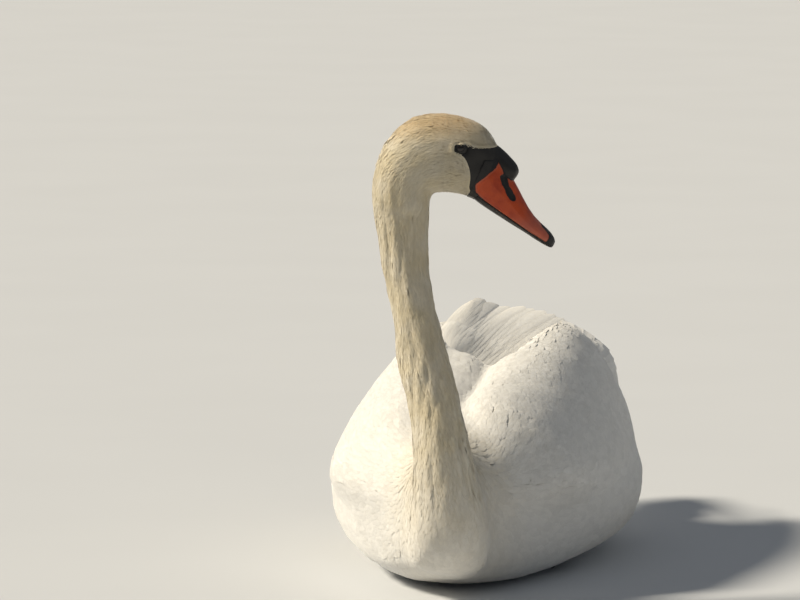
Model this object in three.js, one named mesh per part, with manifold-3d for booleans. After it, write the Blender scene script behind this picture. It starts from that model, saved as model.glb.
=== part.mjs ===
// Mute swan (Cygnus olor), adult cob, life size: at rest on its belly, neck raised, head turned to its left.
// Millimetres. +Z is up, the breast faces -Y, the tail +Y and the bird's left side +X.
// The origin is the middle of the belly's flat underside, at the level that the bird rests on.
import * as THREE from "three";
import { mergeVertices } from "three/addons/utils/BufferGeometryUtils.js";
import Module from "manifold-3d";

const wasm = await Module();
wasm.setup();

// ---------------------------------------------------------------- driving dimensions
const GAP = 0.3; // clearance between neighbouring solids
const FLOOR = 0; // level of every resting face
const FAR = 1500; // beyond the whole bird, for cutting slabs

const TRUNK = {
  frontY: -252, // tip of the breast, inside the neck's base
  widestY: 130,
  rearY: 366, // end of the rump
  halfWidth: 168,
  frontZ: 96,
  rearZ: 132,
  widestZ: 82,
  topZ: 194,
  bottomZ: -3, // below the floor, so that the cut at the floor leaves the resting flat
  roof: { shoulder: 2, back: 1.25, fromY: -190, toY: -70 }, // squareness of the upper half along the body
  keel: 2.7, // squareness of the lower half
  sides: 24,
};

const NECK = {
  baseZ: 18,
  lowerTopZ: 190,
  middleTopZ: 300,
  topZ: 410,
  sides: 18,
};

const HEAD = {
  heading: THREE.MathUtils.degToRad(10), // of the bill, from +X towards +Y
  eye: new THREE.Vector3(22.5, -222, 460), // level with the lower lid, in the head's middle plane
  eyeball: [-0.5, 3], // centre, forward of and above the lower lid
  eyeRadius: 7.8,
  eyeOffset: 20.8, // from the middle plane to the centre of the eyeball
  sides: 16,
};

// Points of the bill in the head's middle plane, forward of and above the eye.
const BILL = {
  gape: [13.5, -50],
  forehead: [37, 1.5],
  lip: [
    [19.5, -47],
    [85, -93],
  ],
  nail: [
    [84, -76.5],
    [89, -90.5],
  ],
  nostril: { from: [43.5, -29], to: [53.5, -48], aside: 18.4, radius: 2.6 },
};
const NAPE = { throat: [-31.5, -60], back: [-88, -56] };

const WING = { frontY: -196, rearY: 300, sides: 18 };
const SCAPULARS = { frontY: -150, rearY: 104, sides: 14, offset: { left: 38, right: 24 } };
const TERTIALS = { raised: { left: 0, right: 26 } }; // the right ones stand up and lie across the back
const FEATHER = { rootThickness: 6, tipThickness: 2.4, notch: 14 };
const TAIL = {
  feathers: 8,
  halfRoot: 40,
  rootY: 314,
  rootZ: 132,
  halfTip: 64,
  tipY: 486,
  sideTipY: 424,
  tipZ: 150,
  droop: 12,
};

const FOOT = {
  heel: new THREE.Vector3(58, 236, 11),
  ankle: new THREE.Vector3(66, 122, 8),
  tarsusRadius: 8,
  webThickness: 3,
  pocket: 9, // room round the foot in the belly's feathers
  toes: [
    // tip x and y, and the radius at the root: inner, middle and outer
    [46, 8, 6],
    [64, -24, 6.8],
    [86, -6, 6],
  ],
};

// ---------------------------------------------------------------- helpers
const vector = (x, y, z) => new THREE.Vector3(x, y, z);
const mix = THREE.MathUtils.lerp;
const degrees = THREE.MathUtils.degToRad;
const steps = (from, to, count) => Array.from({ length: count + 1 }, (_, i) => mix(from, to, i / count));

// A smooth function through the rows of a station table, whose first column is the parameter.
function track(rows) {
  const slope = (column, i) => {
    const before = rows[Math.max(i - 1, 0)];
    const after = rows[Math.min(i + 1, rows.length - 1)];
    return (after[column] - before[column]) / (after[0] - before[0]);
  };
  return (x) => {
    const next = rows.findIndex((row) => row[0] >= x);
    const i = Math.max((next < 0 ? rows.length - 1 : next) - 1, 0);
    const span = rows[i + 1][0] - rows[i][0];
    const t = (x - rows[i][0]) / span;
    const [t2, t3] = [t * t, t * t * t];
    return rows[i].map(
      (value, column) =>
        value * (2 * t3 - 3 * t2 + 1) +
        rows[i + 1][column] * (3 * t2 - 2 * t3) +
        slope(column, i) * span * (t3 - 2 * t2 + t) +
        slope(column, i + 1) * span * (t3 - t2),
    );
  };
}

// A superellipse round a centre. Its upper and lower halves may differ in height and in squareness.
function ring({ centre, across, up, half, above, below = above, squareAbove = 2, squareBelow = 2, sides }) {
  return Array.from({ length: sides }, (_, i) => {
    const angle = (2 * Math.PI * i) / sides;
    const [c, s] = [Math.cos(angle), Math.sin(angle)];
    const power = 2 / (s >= 0 ? squareAbove : squareBelow);
    const u = half * Math.sign(c) * Math.abs(c) ** power;
    const v = (s >= 0 ? above : below) * Math.sign(s) * Math.abs(s) ** power;
    return centre.clone().addScaledVector(across, u).addScaledVector(up, v);
  });
}

// One closed body through rings of equal length, with a fan over each end.
function loft(rings) {
  const sides = rings[0].length;
  const points = rings.flat();
  const faces = [];
  for (let r = 0; r < rings.length - 1; r++)
    for (let i = 0; i < sides; i++) {
      const [a, b] = [r * sides + i, r * sides + ((i + 1) % sides)];
      faces.push(a, b, b + sides, a, b + sides, a + sides);
    }
  for (const end of [0, rings.length - 1]) {
    const middle = rings[end].reduce((sum, p) => sum.add(p), vector(0, 0, 0)).divideScalar(sides);
    const hub = points.push(middle) - 1;
    for (let i = 0; i < sides; i++) {
      const [a, b] = [end * sides + i, end * sides + ((i + 1) % sides)];
      faces.push(hub, end === 0 ? b : a, end === 0 ? a : b);
    }
  }
  return solid(new THREE.BufferGeometry().setFromPoints(points).setIndex(faces));
}

function solid(geometry) {
  const bare = geometry.clone();
  bare.deleteAttribute("normal");
  bare.deleteAttribute("uv");
  const merged = mergeVertices(bare, 1e-3);
  const vertProperties = merged.attributes.position.array;
  const triVerts = new Uint32Array(merged.index.array);
  const made = new wasm.Manifold(new wasm.Mesh({ numProp: 3, vertProperties, triVerts }));
  if (made.volume() >= 0) return made;
  const flipped = triVerts.map((_, i) => triVerts[i - (i % 3) + 2 - (i % 3)]);
  return new wasm.Manifold(new wasm.Mesh({ numProp: 3, vertProperties, triVerts: flipped }));
}

// All that lies beyond a plane, on the side that its normal points to.
function beyond(point, normal) {
  const turn = new THREE.Quaternion().setFromUnitVectors(vector(0, 0, 1), normal.clone().normalize());
  const block = new THREE.BoxGeometry(2 * FAR, 2 * FAR, FAR).translate(0, 0, FAR / 2);
  return solid(block.applyQuaternion(turn).translate(point.x, point.y, point.z));
}

function ellipsoid(centre, radii, segments) {
  const shape = new THREE.SphereGeometry(1, segments, Math.round(segments * 0.7));
  return solid(shape.scale(...radii).translate(centre.x, centre.y, centre.z));
}

const joined = (solids) => solids.reduce((whole, piece) => whole.add(piece));
const without = (made, ...others) => others.reduce((left, other) => left.subtract(other), made);
const mainPiece = (made) => made.decompose().reduce((a, b) => (b.volume() > a.volume() ? b : a));

function geometryOf(made) {
  const mesh = made.getMesh();
  const positions = new Float32Array(mesh.numVert * 3);
  for (let i = 0; i < mesh.numVert; i++)
    positions.set(mesh.vertProperties.subarray(i * mesh.numProp, i * mesh.numProp + 3), i * 3);
  return new THREE.BufferGeometry()
    .setAttribute("position", new THREE.BufferAttribute(positions, 3))
    .setIndex(new THREE.BufferAttribute(new Uint32Array(mesh.triVerts), 1));
}

const mirrored = (made) => solid(geometryOf(made).scale(-1, 1, 1));
const floorUp = beyond(vector(0, 0, FLOOR), vector(0, 0, 1));

// ---------------------------------------------------------------- trunk
// What is left of the full size at t, which runs from 0 at the widest station to 1 at the tip.
const taper = (t, bulge, end) => Math.max(1 - t ** bulge, 0) ** end;

function trunkRing(y, grow) {
  const T = TRUNK;
  const { roof } = T;
  const front = y < T.widestY;
  const t = (y - T.widestY) / ((front ? T.frontY : T.rearY) - T.widestY);
  const tipZ = front ? T.frontZ : T.rearZ;
  const top = mix(tipZ, T.topZ, front ? taper(t, 3.4, 0.5) : taper(t, 1.7, 0.8));
  const bottom = mix(tipZ, T.bottomZ, front ? taper(t, 5.5, 0.5) : taper(t, 1.9, 0.85));
  const middle = mix(T.widestZ, tipZ, t ** 2);
  return ring({
    centre: vector(0, y, middle),
    across: vector(1, 0, 0),
    up: vector(0, 0, 1),
    half: T.halfWidth * (front ? taper(t, 2.1, 0.8) : taper(t, 2, 0.7)) + grow,
    above: top - middle + grow,
    below: middle - bottom + grow,
    squareAbove: mix(roof.shoulder, roof.back, THREE.MathUtils.smoothstep(y, roof.fromY, roof.toY)),
    squareBelow: T.keel,
    sides: T.sides,
  });
}

function trunkLoft(grow = 0) {
  const T = TRUNK;
  const towards = (tip, count) => steps(0, Math.PI / 2, count).map((a) => mix(T.widestY, tip, Math.sin(a)));
  const stations = [...towards(T.frontY - grow + 1, 9).reverse(), ...towards(T.rearY + grow - 1, 8).slice(1)];
  return loft(stations.map((y) => trunkRing(y, grow)));
}

// ---------------------------------------------------------------- neck
// Height, x, y, the way the throat faces in degrees from +X, half the width, depths to throat and nape.
const neckTrack = track([
  [18, 6.5, -180, -90, 10, 8, 10],
  [26, 9.5, -213, -90, 31, 26, 32],
  [42, 13.5, -238, -90, 42.5, 38, 42],
  [62, 16, -249, -90, 47, 42, 50],
  [95, 16, -254, -90, 43, 41, 60],
  [125, 13, -256, -88, 34.5, 38, 60],
  [165, 9.5, -254, -82, 28.4, 34, 52],
  [205, 1, -250, -72, 25.6, 30, 40],
  [240, -9.5, -246, -58, 26.2, 27, 31],
  [275, -16, -241, -42, 22.6, 23.5, 25],
  [310, -25, -236, -24, 21.4, 22, 22.5],
  [345, -32.5, -231, -8, 23, 23, 23.5],
  [378, -36.5, -229, 6, 25.4, 25.4, 25.4],
  [412, -37, -229, 10, 29, 29, 29],
]);

function neckRing(z, grow) {
  const [, x, y, facing, half, front, back] = neckTrack(z);
  const turn = degrees(facing);
  return ring({
    centre: vector(x, y, z),
    across: vector(-Math.sin(turn), Math.cos(turn), 0),
    up: vector(-Math.cos(turn), -Math.sin(turn), 0),
    half: half + grow,
    above: back + grow,
    below: front + grow,
    sides: NECK.sides,
  });
}

const neckLoft = (from, to, count, grow = 0) => loft(steps(from, to, count).map((z) => neckRing(z, grow)));

// ---------------------------------------------------------------- head
// Throat side and crown side of each section in the head's middle plane, from the eye, and half the width.
const headRows = [
  [...NAPE.throat, ...NAPE.back, 28],
  [-31, -50, -88.5, -38, 28.5],
  [-29, -45, -84, -14, 29.5],
  [-24, -43, -70, 14, 31],
  [-16, -43, -48, 33, 31.5],
  [-8, -43.6, -23, 36.2, 30.5],
  [0, -45, 0, 33.4, 28],
  [6, -46.6, 15, 28.6, 25.6],
  [10, -48, 26, 21, 23],
  [12.5, -49, 33, 11, 21],
  [...BILL.gape, ...BILL.forehead, 19.6],
];

const billRows = [
  [...BILL.gape, ...BILL.forehead, 19.6],
  [19.5, -54.5, 42.5, -11, 19.4],
  [29, -61, 49, -23.5, 18.4],
  [43, -70, 57.2, -38.4, 17],
  [53, -76.4, 64.2, -52, 16.6],
  [63, -82.4, 71.6, -64.4, 17.2],
  [74, -89.6, 80.4, -74, 18],
  [83, -95, 88, -81, 16.4],
  [88.5, -98, 93, -87.5, 11],
  [91.5, -98.4, 94.6, -92.5, 5],
];

const forward = vector(Math.cos(HEAD.heading), Math.sin(HEAD.heading), 0);
const aside = vector(-Math.sin(HEAD.heading), Math.cos(HEAD.heading), 0);

// A point p forward of the eye, q above it and s to the left of the head's middle plane.
const headPoint = (p, q, s = 0) =>
  HEAD.eye.clone().addScaledVector(forward, p).addScaledVector(aside, s).add(vector(0, 0, q));

function headRing([, p0, q0, p1, q1, half], squareAbove, squareBelow, grow) {
  const throat = headPoint(p0, q0);
  const crown = headPoint(p1, q1);
  const up = crown.clone().sub(throat);
  return ring({
    centre: throat.add(crown).divideScalar(2),
    across: aside,
    up: up.clone().normalize(),
    half: half + grow,
    above: up.length() / 2 + grow,
    squareAbove,
    squareBelow,
    sides: HEAD.sides,
  });
}

function headLoft(rows, count, squareBelow, grow = 0) {
  const section = track(rows.map((row, i) => [i, ...row]));
  return loft(steps(0, rows.length - 1, count).map((i) => headRing(section(i), 2.1, squareBelow, grow)));
}

const skull = (grow = 0) => headLoft(headRows, 15, 2.3, grow);
const bill = (grow = 0) => headLoft(billRows, 12, 2.6, grow);
const eyeball = (side, grow = 0) =>
  ellipsoid(headPoint(...HEAD.eyeball, side * HEAD.eyeOffset), Array(3).fill(HEAD.eyeRadius + grow), 10);

// All on the left of the line from a to b, with the bill pointing right, and at least `clear` off it.
function sideOf([ap, aq], [bp, bq], clear = 0) {
  const normal = forward.clone().multiplyScalar(aq - bq).add(vector(0, 0, bp - ap)).normalize();
  return beyond(headPoint(ap, aq).addScaledVector(normal, clear), normal);
}

// The knob over the root of the bill, from the forehead to its rounded end.
const KNOB = { from: [33, -7], towards: [55.3, -27.1], sides: 14 };
const knobRows = [
  // distance along the knob, half height and half width
  [-8, 8, 9],
  [-3, 11, 11.2],
  [3, 11.2, 12],
  [9, 11, 12.5],
  [15, 10.4, 12.8],
  [21, 9.8, 12.6],
  [25.5, 8.2, 11],
  [28.6, 5.8, 7.8],
  [30.2, 2.8, 3.8],
];

function knob() {
  const from = headPoint(...KNOB.from);
  const along = headPoint(...KNOB.towards).sub(from).normalize();
  const up = along.clone().cross(aside);
  const centre = (distance) => from.clone().addScaledVector(along, distance);
  return loft(
    knobRows.map(([distance, above, half]) =>
      ring({ centre: centre(distance), across: aside, up, half, above, sides: KNOB.sides }),
    ),
  );
}

// ---------------------------------------------------------------- feather fans
const curve = (...points) => new THREE.CatmullRomCurve3(points.map((p) => vector(...p)));

// A bowed sheet of `count` overlapping feathers, whose roots, tips and face normals each follow a curve.
// Its far edge is notched between one feather and the next.
function fan({ roots, tips, normals, count, arch = 0, notch = FEATHER.notch }, grow = 0) {
  const sections = steps(0, 1, 2 * count).map((t, i) => {
    const edge = t === 0 ? -grow : t === 1 ? grow : 0;
    const root = roots.getPoint(t).addScaledVector(roots.getTangent(t), edge);
    const tip = tips.getPoint(t).addScaledVector(tips.getTangent(t), edge);
    const along = tip.clone().sub(root);
    const across = along.clone().cross(normals.getPoint(t));
    const face = across.cross(along).normalize();
    const reach = i % 2 ? 1 : 1 - notch / along.length();
    const place = (u, side) => {
      const half = mix(FEATHER.rootThickness, FEATHER.tipThickness, u) / 2 + grow;
      const bow = arch * 4 * u * (1 - u);
      return root.clone().addScaledVector(along, u * reach).addScaledVector(face, bow + side * half);
    };
    const spread = steps(0, 1, 3);
    return [...spread.map((u) => place(u, 1)), ...spread.toReversed().map((u) => place(u, -1))];
  });
  return loft(sections);
}

// ---------------------------------------------------------------- wings
// Station y, the section's centre x and z, its lean from upright in degrees, its half height and width.
const wingTrack = track([
  [-196, 53, 110, 48, 14, 9],
  [-178, 59, 119, 48, 34, 21],
  [-150, 62, 128, 48, 57, 37],
  [-120, 64, 133, 47, 71, 47],
  [-80, 66, 134, 45, 80, 51],
  [-30, 73, 134, 41, 85, 53],
  [35, 81, 142, 36, 88, 53],
  [110, 86, 148, 31, 90, 49],
  [180, 89, 154, 27, 89, 45],
  [230, 87, 157, 25, 82, 38],
  [272, 84, 160, 23, 64, 26],
  [300, 81, 163, 22, 36, 11],
]);

function wingRing(y, grow) {
  const [, x, z, lean, height, width] = wingTrack(y);
  const up = vector(-Math.sin(degrees(lean)), 0, Math.cos(degrees(lean)));
  return ring({
    centre: vector(x, y, z),
    across: vector(up.z, 0, -up.x),
    up,
    half: width + grow,
    above: height + grow,
    squareAbove: 2.2,
    squareBelow: 2.8,
    sides: WING.sides,
  });
}

const wingLoft = (grow = 0) =>
  loft(steps(WING.frontY - grow, WING.rearY + grow, 14).map((y) => wingRing(y, grow)));

// Scapulars: station y, height, half width and half height of the mound over the root of the wing.
const scapularTrack = track([
  [-150, 164, 12, 10],
  [-110, 172, 26, 21],
  [-60, 177, 32, 25],
  [0, 181, 34, 27],
  [50, 190, 33, 29],
  [88, 197, 26, 22],
  [104, 198, 8, 8],
]);

function scapularLoft(x, grow = 0) {
  const { frontY, rearY, sides } = SCAPULARS;
  const rings = steps(frontY - grow, rearY + grow, 8).map((y) => {
    const [, z, half, height] = scapularTrack(y);
    const centre = vector(x, y, z);
    const [across, up] = [vector(1, 0, 0), vector(0, 0, 1)];
    return ring({ centre, across, up, half: half + grow, above: height + grow, sides });
  });
  return loft(rings);
}

// Tertials of the left wing. `raised` lifts them and carries them across the back.
const tertialFan = (raised, grow = 0) =>
  fan(
    {
      roots: curve(
        [16 - raised / 2, 112, 192 + raised / 4],
        [34, 128, 202 + raised / 3],
        [52, 136, 220 + raised / 2],
        [70, 146, 224 + raised / 2],
      ),
      tips: curve(
        [-4 - 2.2 * raised, 302, 204 + raised],
        [16 - raised, 306, 214 + raised],
        [42 - raised / 4, 284, 224 + raised],
        [66, 246, 222 + raised],
      ),
      normals: curve([-0.3, 0, 1], [-0.1, 0, 1], [0.1, 0, 1], [0.3, 0, 1]),
      count: 6,
      arch: raised / 4,
    },
    grow,
  );

// Secondaries of the left wing, from its crest down to the flank.
const secondaryFan = (grow = 0) =>
  fan(
    {
      roots: curve([62, 196, 226], [110, 204, 198], [124, 210, 146]),
      tips: curve([48, 322, 228], [95, 330, 194], [108, 342, 146]),
      normals: curve([0.3, 0.1, 1], [1, 0.1, 0.7], [1, 0.1, 0.1]),
      count: 6,
      arch: 4,
    },
    grow,
  );

// Primaries of the left wing, folded over the rump with their tips over the tail.
const primaryFan = (grow = 0) =>
  fan(
    {
      roots: curve([68, 262, 168], [100, 248, 150], [110, 242, 124]),
      tips: curve([12, 404, 182], [17, 428, 174], [22, 440, 165]),
      normals: curve([0.2, 0.1, 1], [0.6, 0.1, 0.8], [0.8, 0, 0.6]),
      count: 4,
      arch: 12,
    },
    grow,
  );

// ---------------------------------------------------------------- tail
const tailFan = () => {
  const { feathers, halfRoot, rootY, rootZ, halfTip, tipY, sideTipY, tipZ, droop } = TAIL;
  const across = (half, y, sideY, z) => curve([-half, sideY, z - droop], [0, y, z], [half, sideY, z - droop]);
  return fan({
    roots: across(halfRoot, rootY, rootY, rootZ),
    tips: across(halfTip, tipY, sideTipY, tipZ),
    normals: curve([-0.5, 0, 1], [0, 0, 1], [0.5, 0, 1]),
    count: feathers,
  });
};

// ---------------------------------------------------------------- legs
// A tapering round bar between two points, cut flat at the floor later.
function bar(from, to, fromRadius, toRadius, grow) {
  const along = to.clone().sub(from).normalize();
  const across = vector(along.y, -along.x, 0).normalize();
  const up = across.clone().cross(along).normalize();
  const rings = [0, 0.08, 0.92, 1].map((t) => {
    const round = t === 0 || t === 1 ? 0.55 : 1;
    const radius = mix(fromRadius, toRadius, t) * round + grow;
    return ring({ centre: from.clone().lerp(to, t), across, up, half: radius, above: radius, sides: 6 });
  });
  return loft(rings);
}

// The pocket in the belly's feathers that a foot lies in.
const footPocket = () => {
  const { ankle, toes, pocket } = FOOT;
  const outline = new THREE.Shape();
  outline.moveTo(ankle.x - 3 * pocket, ankle.y + 3 * pocket);
  outline.lineTo(toes[0][0] - pocket, toes[0][1] - pocket);
  outline.lineTo(toes[1][0], toes[1][1] - pocket);
  outline.lineTo(toes[2][0] + pocket, toes[2][1] - pocket);
  outline.lineTo(ankle.x + pocket, ankle.y + 3 * pocket);
  return solid(new THREE.ExtrudeGeometry(outline, { depth: 2 * ankle.z, bevelEnabled: false }));
};

const shank = (grow = 0) => {
  const { heel, ankle, tarsusRadius } = FOOT;
  const knee = heel.clone().add(vector(-8, -34, 34));
  return bar(heel, ankle, tarsusRadius + 3, tarsusRadius, grow).add(bar(knee, heel, 17, 10, grow));
};

const foot = (grow = 0) => {
  const { ankle, toes, webThickness } = FOOT;
  const root = ankle.clone().add(vector(0, -3, 0));
  const digits = toes.map(([x, y, radius]) => bar(root, vector(x, y, 3.6), radius, 3.2, grow));
  const webOutline = new THREE.Shape();
  webOutline.moveTo(root.x, root.y);
  toes.forEach(([x, y], i) => {
    if (i === 0) return webOutline.lineTo(mix(root.x, x, 0.94), mix(root.y, y, 0.94));
    const [lastX, lastY] = toes[i - 1];
    const dip = [mix(root.x, (x + lastX) / 2, 0.8), mix(root.y, (y + lastY) / 2, 0.8)];
    return webOutline.quadraticCurveTo(...dip, mix(root.x, x, 0.94), mix(root.y, y, 0.94));
  });
  const depth = webThickness + grow;
  const web = new THREE.ExtrudeGeometry(webOutline, { depth, bevelEnabled: false, curveSegments: 4 });
  const [hindRoot, hindTip] = [vector(-2, -2, 0), vector(-15, 18, -2)].map((step) => step.add(ankle));
  const hallux = bar(hindRoot, hindTip, 4, 2.6, grow);
  const aboveFloor = beyond(vector(0, 0, FLOOR - grow), vector(0, 0, 1));
  return joined([...digits, solid(web), hallux]).intersect(aboveFloor);
};

// ---------------------------------------------------------------- scene graph
const material = (color, roughness = 0.8) => new THREE.MeshStandardMaterial({ color, roughness });
const white = material(0xf2efe6);
const stained = material(0xdccca2);
const orange = material(0xc8451b, 0.4);
const black = material(0x15130f, 0.45);
const iris = material(0x1d120b, 0.1);

const group = new THREE.Group();
const add = (name, made, look) => {
  const mesh = new THREE.Mesh(geometryOf(mainPiece(made)), look);
  mesh.name = name;
  group.add(mesh);
};
const sides = { left: 1, right: -1 };
const onSide = (made, side) => (side > 0 ? made : mirrored(made));

// Neck, in three lengths
const { baseZ, lowerTopZ, middleTopZ, topZ } = NECK;
add("neck_lower", neckLoft(baseZ, lowerTopZ, 12), stained);
add("neck_middle", neckLoft(lowerTopZ + GAP, middleTopZ, 7), stained);
const belowHead = sideOf(NAPE.throat, NAPE.back, GAP);
add("neck_upper", neckLoft(middleTopZ + GAP, topZ, 7).intersect(belowHead), stained);

// Head and bill
const wholeBill = bill().intersect(sideOf(BILL.forehead, BILL.gape, GAP));
const upperBill = wholeBill.intersect(sideOf(...BILL.lip));
const nostril = (side) => {
  const { from, to, aside: s, radius } = BILL.nostril;
  return bar(headPoint(...from, side * s), headPoint(...to, side * s), radius, radius, 0);
};
add("head", without(skull(), eyeball(1, GAP), eyeball(-1, GAP)), stained);
const behindNail = upperBill.intersect(sideOf(...BILL.nail.toReversed()));
add("bill_upper", without(behindNail, nostril(1), nostril(-1)), orange);
add("bill_nail", upperBill.intersect(sideOf(...BILL.nail, GAP)), black);
add("bill_lower", wholeBill.intersect(sideOf(...BILL.lip.toReversed(), GAP)), black);
add("bill_knob", without(knob(), skull(GAP), bill(GAP)), black);
for (const [name, side] of Object.entries(sides)) add(`eye_${name}`, eyeball(side), iris);

// Legs, half sunk in the belly's feathers
for (const [name, side] of Object.entries(sides)) {
  add(`foot_${name}`, onSide(foot(), side), black);
  add(`leg_${name}`, onSide(shank().intersect(floorUp).subtract(foot(GAP)), side), black);
}

// Trunk
const neckCutter = joined([
  neckLoft(baseZ - GAP, baseZ, 1, GAP),
  neckLoft(baseZ, lowerTopZ, 12, GAP),
  neckLoft(lowerTopZ, middleTopZ, 7, GAP),
]);
const legCutter = footPocket().add(shank(GAP));
add("trunk", without(trunkLoft().intersect(floorUp), neckCutter, legCutter, mirrored(legCutter)), white);

// Wings and tail. Each piece is cut by all that were added before it.
const taken = [trunkLoft(GAP), neckCutter];
const addBoth = (name, make, order = ["left", "right"]) => {
  for (const side of order) {
    add(`${name}_${side}`, without(onSide(make(0, side), sides[side]), ...taken), white);
    taken.push(onSide(make(GAP, side), sides[side]));
  }
};
const rightFirst = ["right", "left"];
addBoth("wing", wingLoft);
addBoth("scapulars", (grow, side) => scapularLoft(SCAPULARS.offset[side], grow), rightFirst);
addBoth("tertials", (grow, side) => tertialFan(TERTIALS.raised[side], grow), rightFirst);
addBoth("secondaries", secondaryFan);
addBoth("primaries", primaryFan);
add("tail", without(tailFan(), ...taken), white);

export default group;
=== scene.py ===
"""A mute swan at rest, life size: skin, coat, flight feathers, bill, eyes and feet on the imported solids.

Sizes are named in millimetres and meshes are built in metres. The breast faces -Y and the left side +X.
"""

from __future__ import annotations

import logging
import math
from collections.abc import Iterator, Sequence
from dataclasses import dataclass, field, replace
from enum import Enum

import bmesh
import bpy
import numpy as np
from bpy.types import Material, Mesh, NodeSocket
from mathutils import Matrix, Vector
from mathutils.bvhtree import BVHTree
from mathutils.kdtree import KDTree


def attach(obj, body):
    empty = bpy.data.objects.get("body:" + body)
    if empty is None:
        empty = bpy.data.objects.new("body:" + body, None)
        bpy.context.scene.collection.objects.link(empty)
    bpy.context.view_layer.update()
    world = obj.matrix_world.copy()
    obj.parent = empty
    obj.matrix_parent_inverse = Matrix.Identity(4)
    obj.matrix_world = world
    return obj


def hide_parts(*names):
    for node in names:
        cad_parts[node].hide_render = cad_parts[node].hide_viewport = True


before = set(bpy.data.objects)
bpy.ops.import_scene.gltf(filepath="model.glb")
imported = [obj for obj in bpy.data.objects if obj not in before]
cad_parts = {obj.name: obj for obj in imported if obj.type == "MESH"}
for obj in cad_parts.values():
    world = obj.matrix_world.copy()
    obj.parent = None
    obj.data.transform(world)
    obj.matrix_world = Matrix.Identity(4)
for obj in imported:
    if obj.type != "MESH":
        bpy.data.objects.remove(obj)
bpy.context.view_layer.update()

MM = 0.001
SIDES = {"left": 1.0, "right": -1.0}
log = logging.getLogger("swan")

Array = np.ndarray
Point = tuple[float, float, float]
Span = tuple[float, float]
Outline = tuple[Span, ...]
Colour = tuple[float, float, float, float]


# ---------------- numbers and vectors
def unit(vectors: Array) -> Array:
    """Vectors scaled to length one."""
    return vectors / np.maximum(np.linalg.norm(vectors, axis=-1, keepdims=True), 1e-9)


def ease(values: Array, low: float, high: float) -> Array:
    """A smooth step from 0 at low to 1 at high."""
    t = np.clip((values - low) / (high - low), 0, 1)
    return t * t * (3 - 2 * t)


def along_curve(points: Sequence[Point], t: Array) -> Array:
    """The points at places t, from 0 to 1, of a smooth curve through the given points."""
    knots = np.asarray(points, float)
    padded = np.vstack([2 * knots[0] - knots[1], knots, 2 * knots[-1] - knots[-2]])
    place = np.clip(t, 0, 1) * (len(knots) - 1)
    i = np.minimum(place.astype(int), len(knots) - 2)
    u = (place - i)[:, None]
    a, b, c, d = (padded[i + k] for k in range(4))
    return 0.5 * (2 * b + (c - a) * u + (2 * a - 5 * b + 4 * c - d) * u**2 + (3 * b - a - 3 * c + d) * u**3)


def inside_distance(points: Array, outline: Outline) -> Array:
    """Distance of flat points from an outline, positive inside it and negative outside."""
    corners = np.asarray(outline, float)
    best = np.full(len(points), np.inf)
    inside = np.zeros(len(points), bool)
    for start, end in zip(corners, np.roll(corners, -1, axis=0)):
        edge = end - start
        offset = points - start
        t = np.clip(offset @ edge / (edge @ edge), 0, 1)
        best = np.minimum(best, np.linalg.norm(offset - t[:, None] * edge, axis=1))
        rise = edge[1] if abs(edge[1]) > 1e-9 else 1e-9
        spans = (start[1] > points[:, 1]) != (end[1] > points[:, 1])
        inside ^= spans & (points[:, 0] < start[0] + offset[:, 1] / rise * edge[0])
    return np.where(inside, best, -best)


def rounded(corners: Outline, steps: int = 6) -> Outline:
    """A closed outline with its corners eased into smooth curves."""
    ring = [(x, y, 0.0) for x, y in (corners[-1], *corners, corners[0])]
    t = np.linspace(1 / (len(ring) - 1), 1 - 1 / (len(ring) - 1), steps * (len(ring) - 2), endpoint=False)
    return tuple((float(x), float(y)) for x, y, _ in along_curve(ring, t))


def ripple(points: Array, wavelength: float, seed: int, count: int = 24) -> Array:
    """Smooth noise between about -1 and 1 at each point, from waves of random direction and phase."""
    rng = np.random.default_rng(seed)
    waves = unit(rng.normal(size=(count, 3))) * rng.uniform(0.6, 1.5, (count, 1)) * 2 * math.pi / wavelength
    return np.sin(points @ waves.T + rng.uniform(0, 2 * math.pi, count)).sum(1) * math.sqrt(2 / count) * 0.6


# ---------------- meshes
def read(items: bpy.types.bpy_prop_collection, key: str, width: int, kind: type = np.float32) -> Array:
    """What the items of a mesh carry under a key, with one row to an item."""
    flat = np.empty(len(items) * width, kind)
    items.foreach_get(key, flat)
    return flat.reshape(-1, width)


def coordinates(mesh: Mesh) -> Array:
    """The vertices of a mesh, in millimetres."""
    return read(mesh.vertices, "co", 3).astype(float) / MM


def place_vertices(mesh: Mesh, points: Array) -> None:
    """Moves the vertices of a mesh to points in millimetres."""
    mesh.vertices.foreach_set("co", (points * MM).astype(np.float32).ravel())
    mesh.update()


def vertex_normals(mesh: Mesh) -> Array:
    """The smooth normals of a mesh."""
    return read(mesh.vertex_normals, "vector", 3).astype(float)


def add_attribute(mesh: Mesh, name: str, values: Array) -> None:
    """Gives each vertex of a mesh a number that its material can read."""
    layer = mesh.attributes.new(name, "FLOAT", "POINT")
    layer.data.foreach_set("value", values.astype(np.float32))


def to_mesh(work: bmesh.types.BMesh, name: str) -> Mesh:
    """Turns a bmesh into a mesh, and frees it."""
    mesh = bpy.data.meshes.new(name)
    work.to_mesh(mesh)
    work.free()
    return mesh


def put_in_order(mesh: Mesh) -> Array:
    """Sorts the vertices and faces of a mesh by place, because spun meshes come in an order left to chance.

    Args:
        mesh: the mesh to sort.

    Returns:
        The old index of each vertex.
    """
    places = read(mesh.vertices, "co", 3)
    order = np.lexsort(places.T)
    rank = np.argsort(order)
    rings = [rank[list(face.vertices)].tolist() for face in mesh.polygons]
    starts = [ring.index(min(ring)) for ring in rings]
    mesh.clear_geometry()
    mesh.from_pydata(places[order].tolist(), [], sorted(ring[k:] + ring[:k] for ring, k in zip(rings, starts)))
    return order


def tree_of(points: Array) -> KDTree:
    """A search tree of points."""
    tree = KDTree(len(points))
    for i, point in enumerate(points):
        tree.insert(point, i)
    tree.balance()
    return tree


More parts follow.
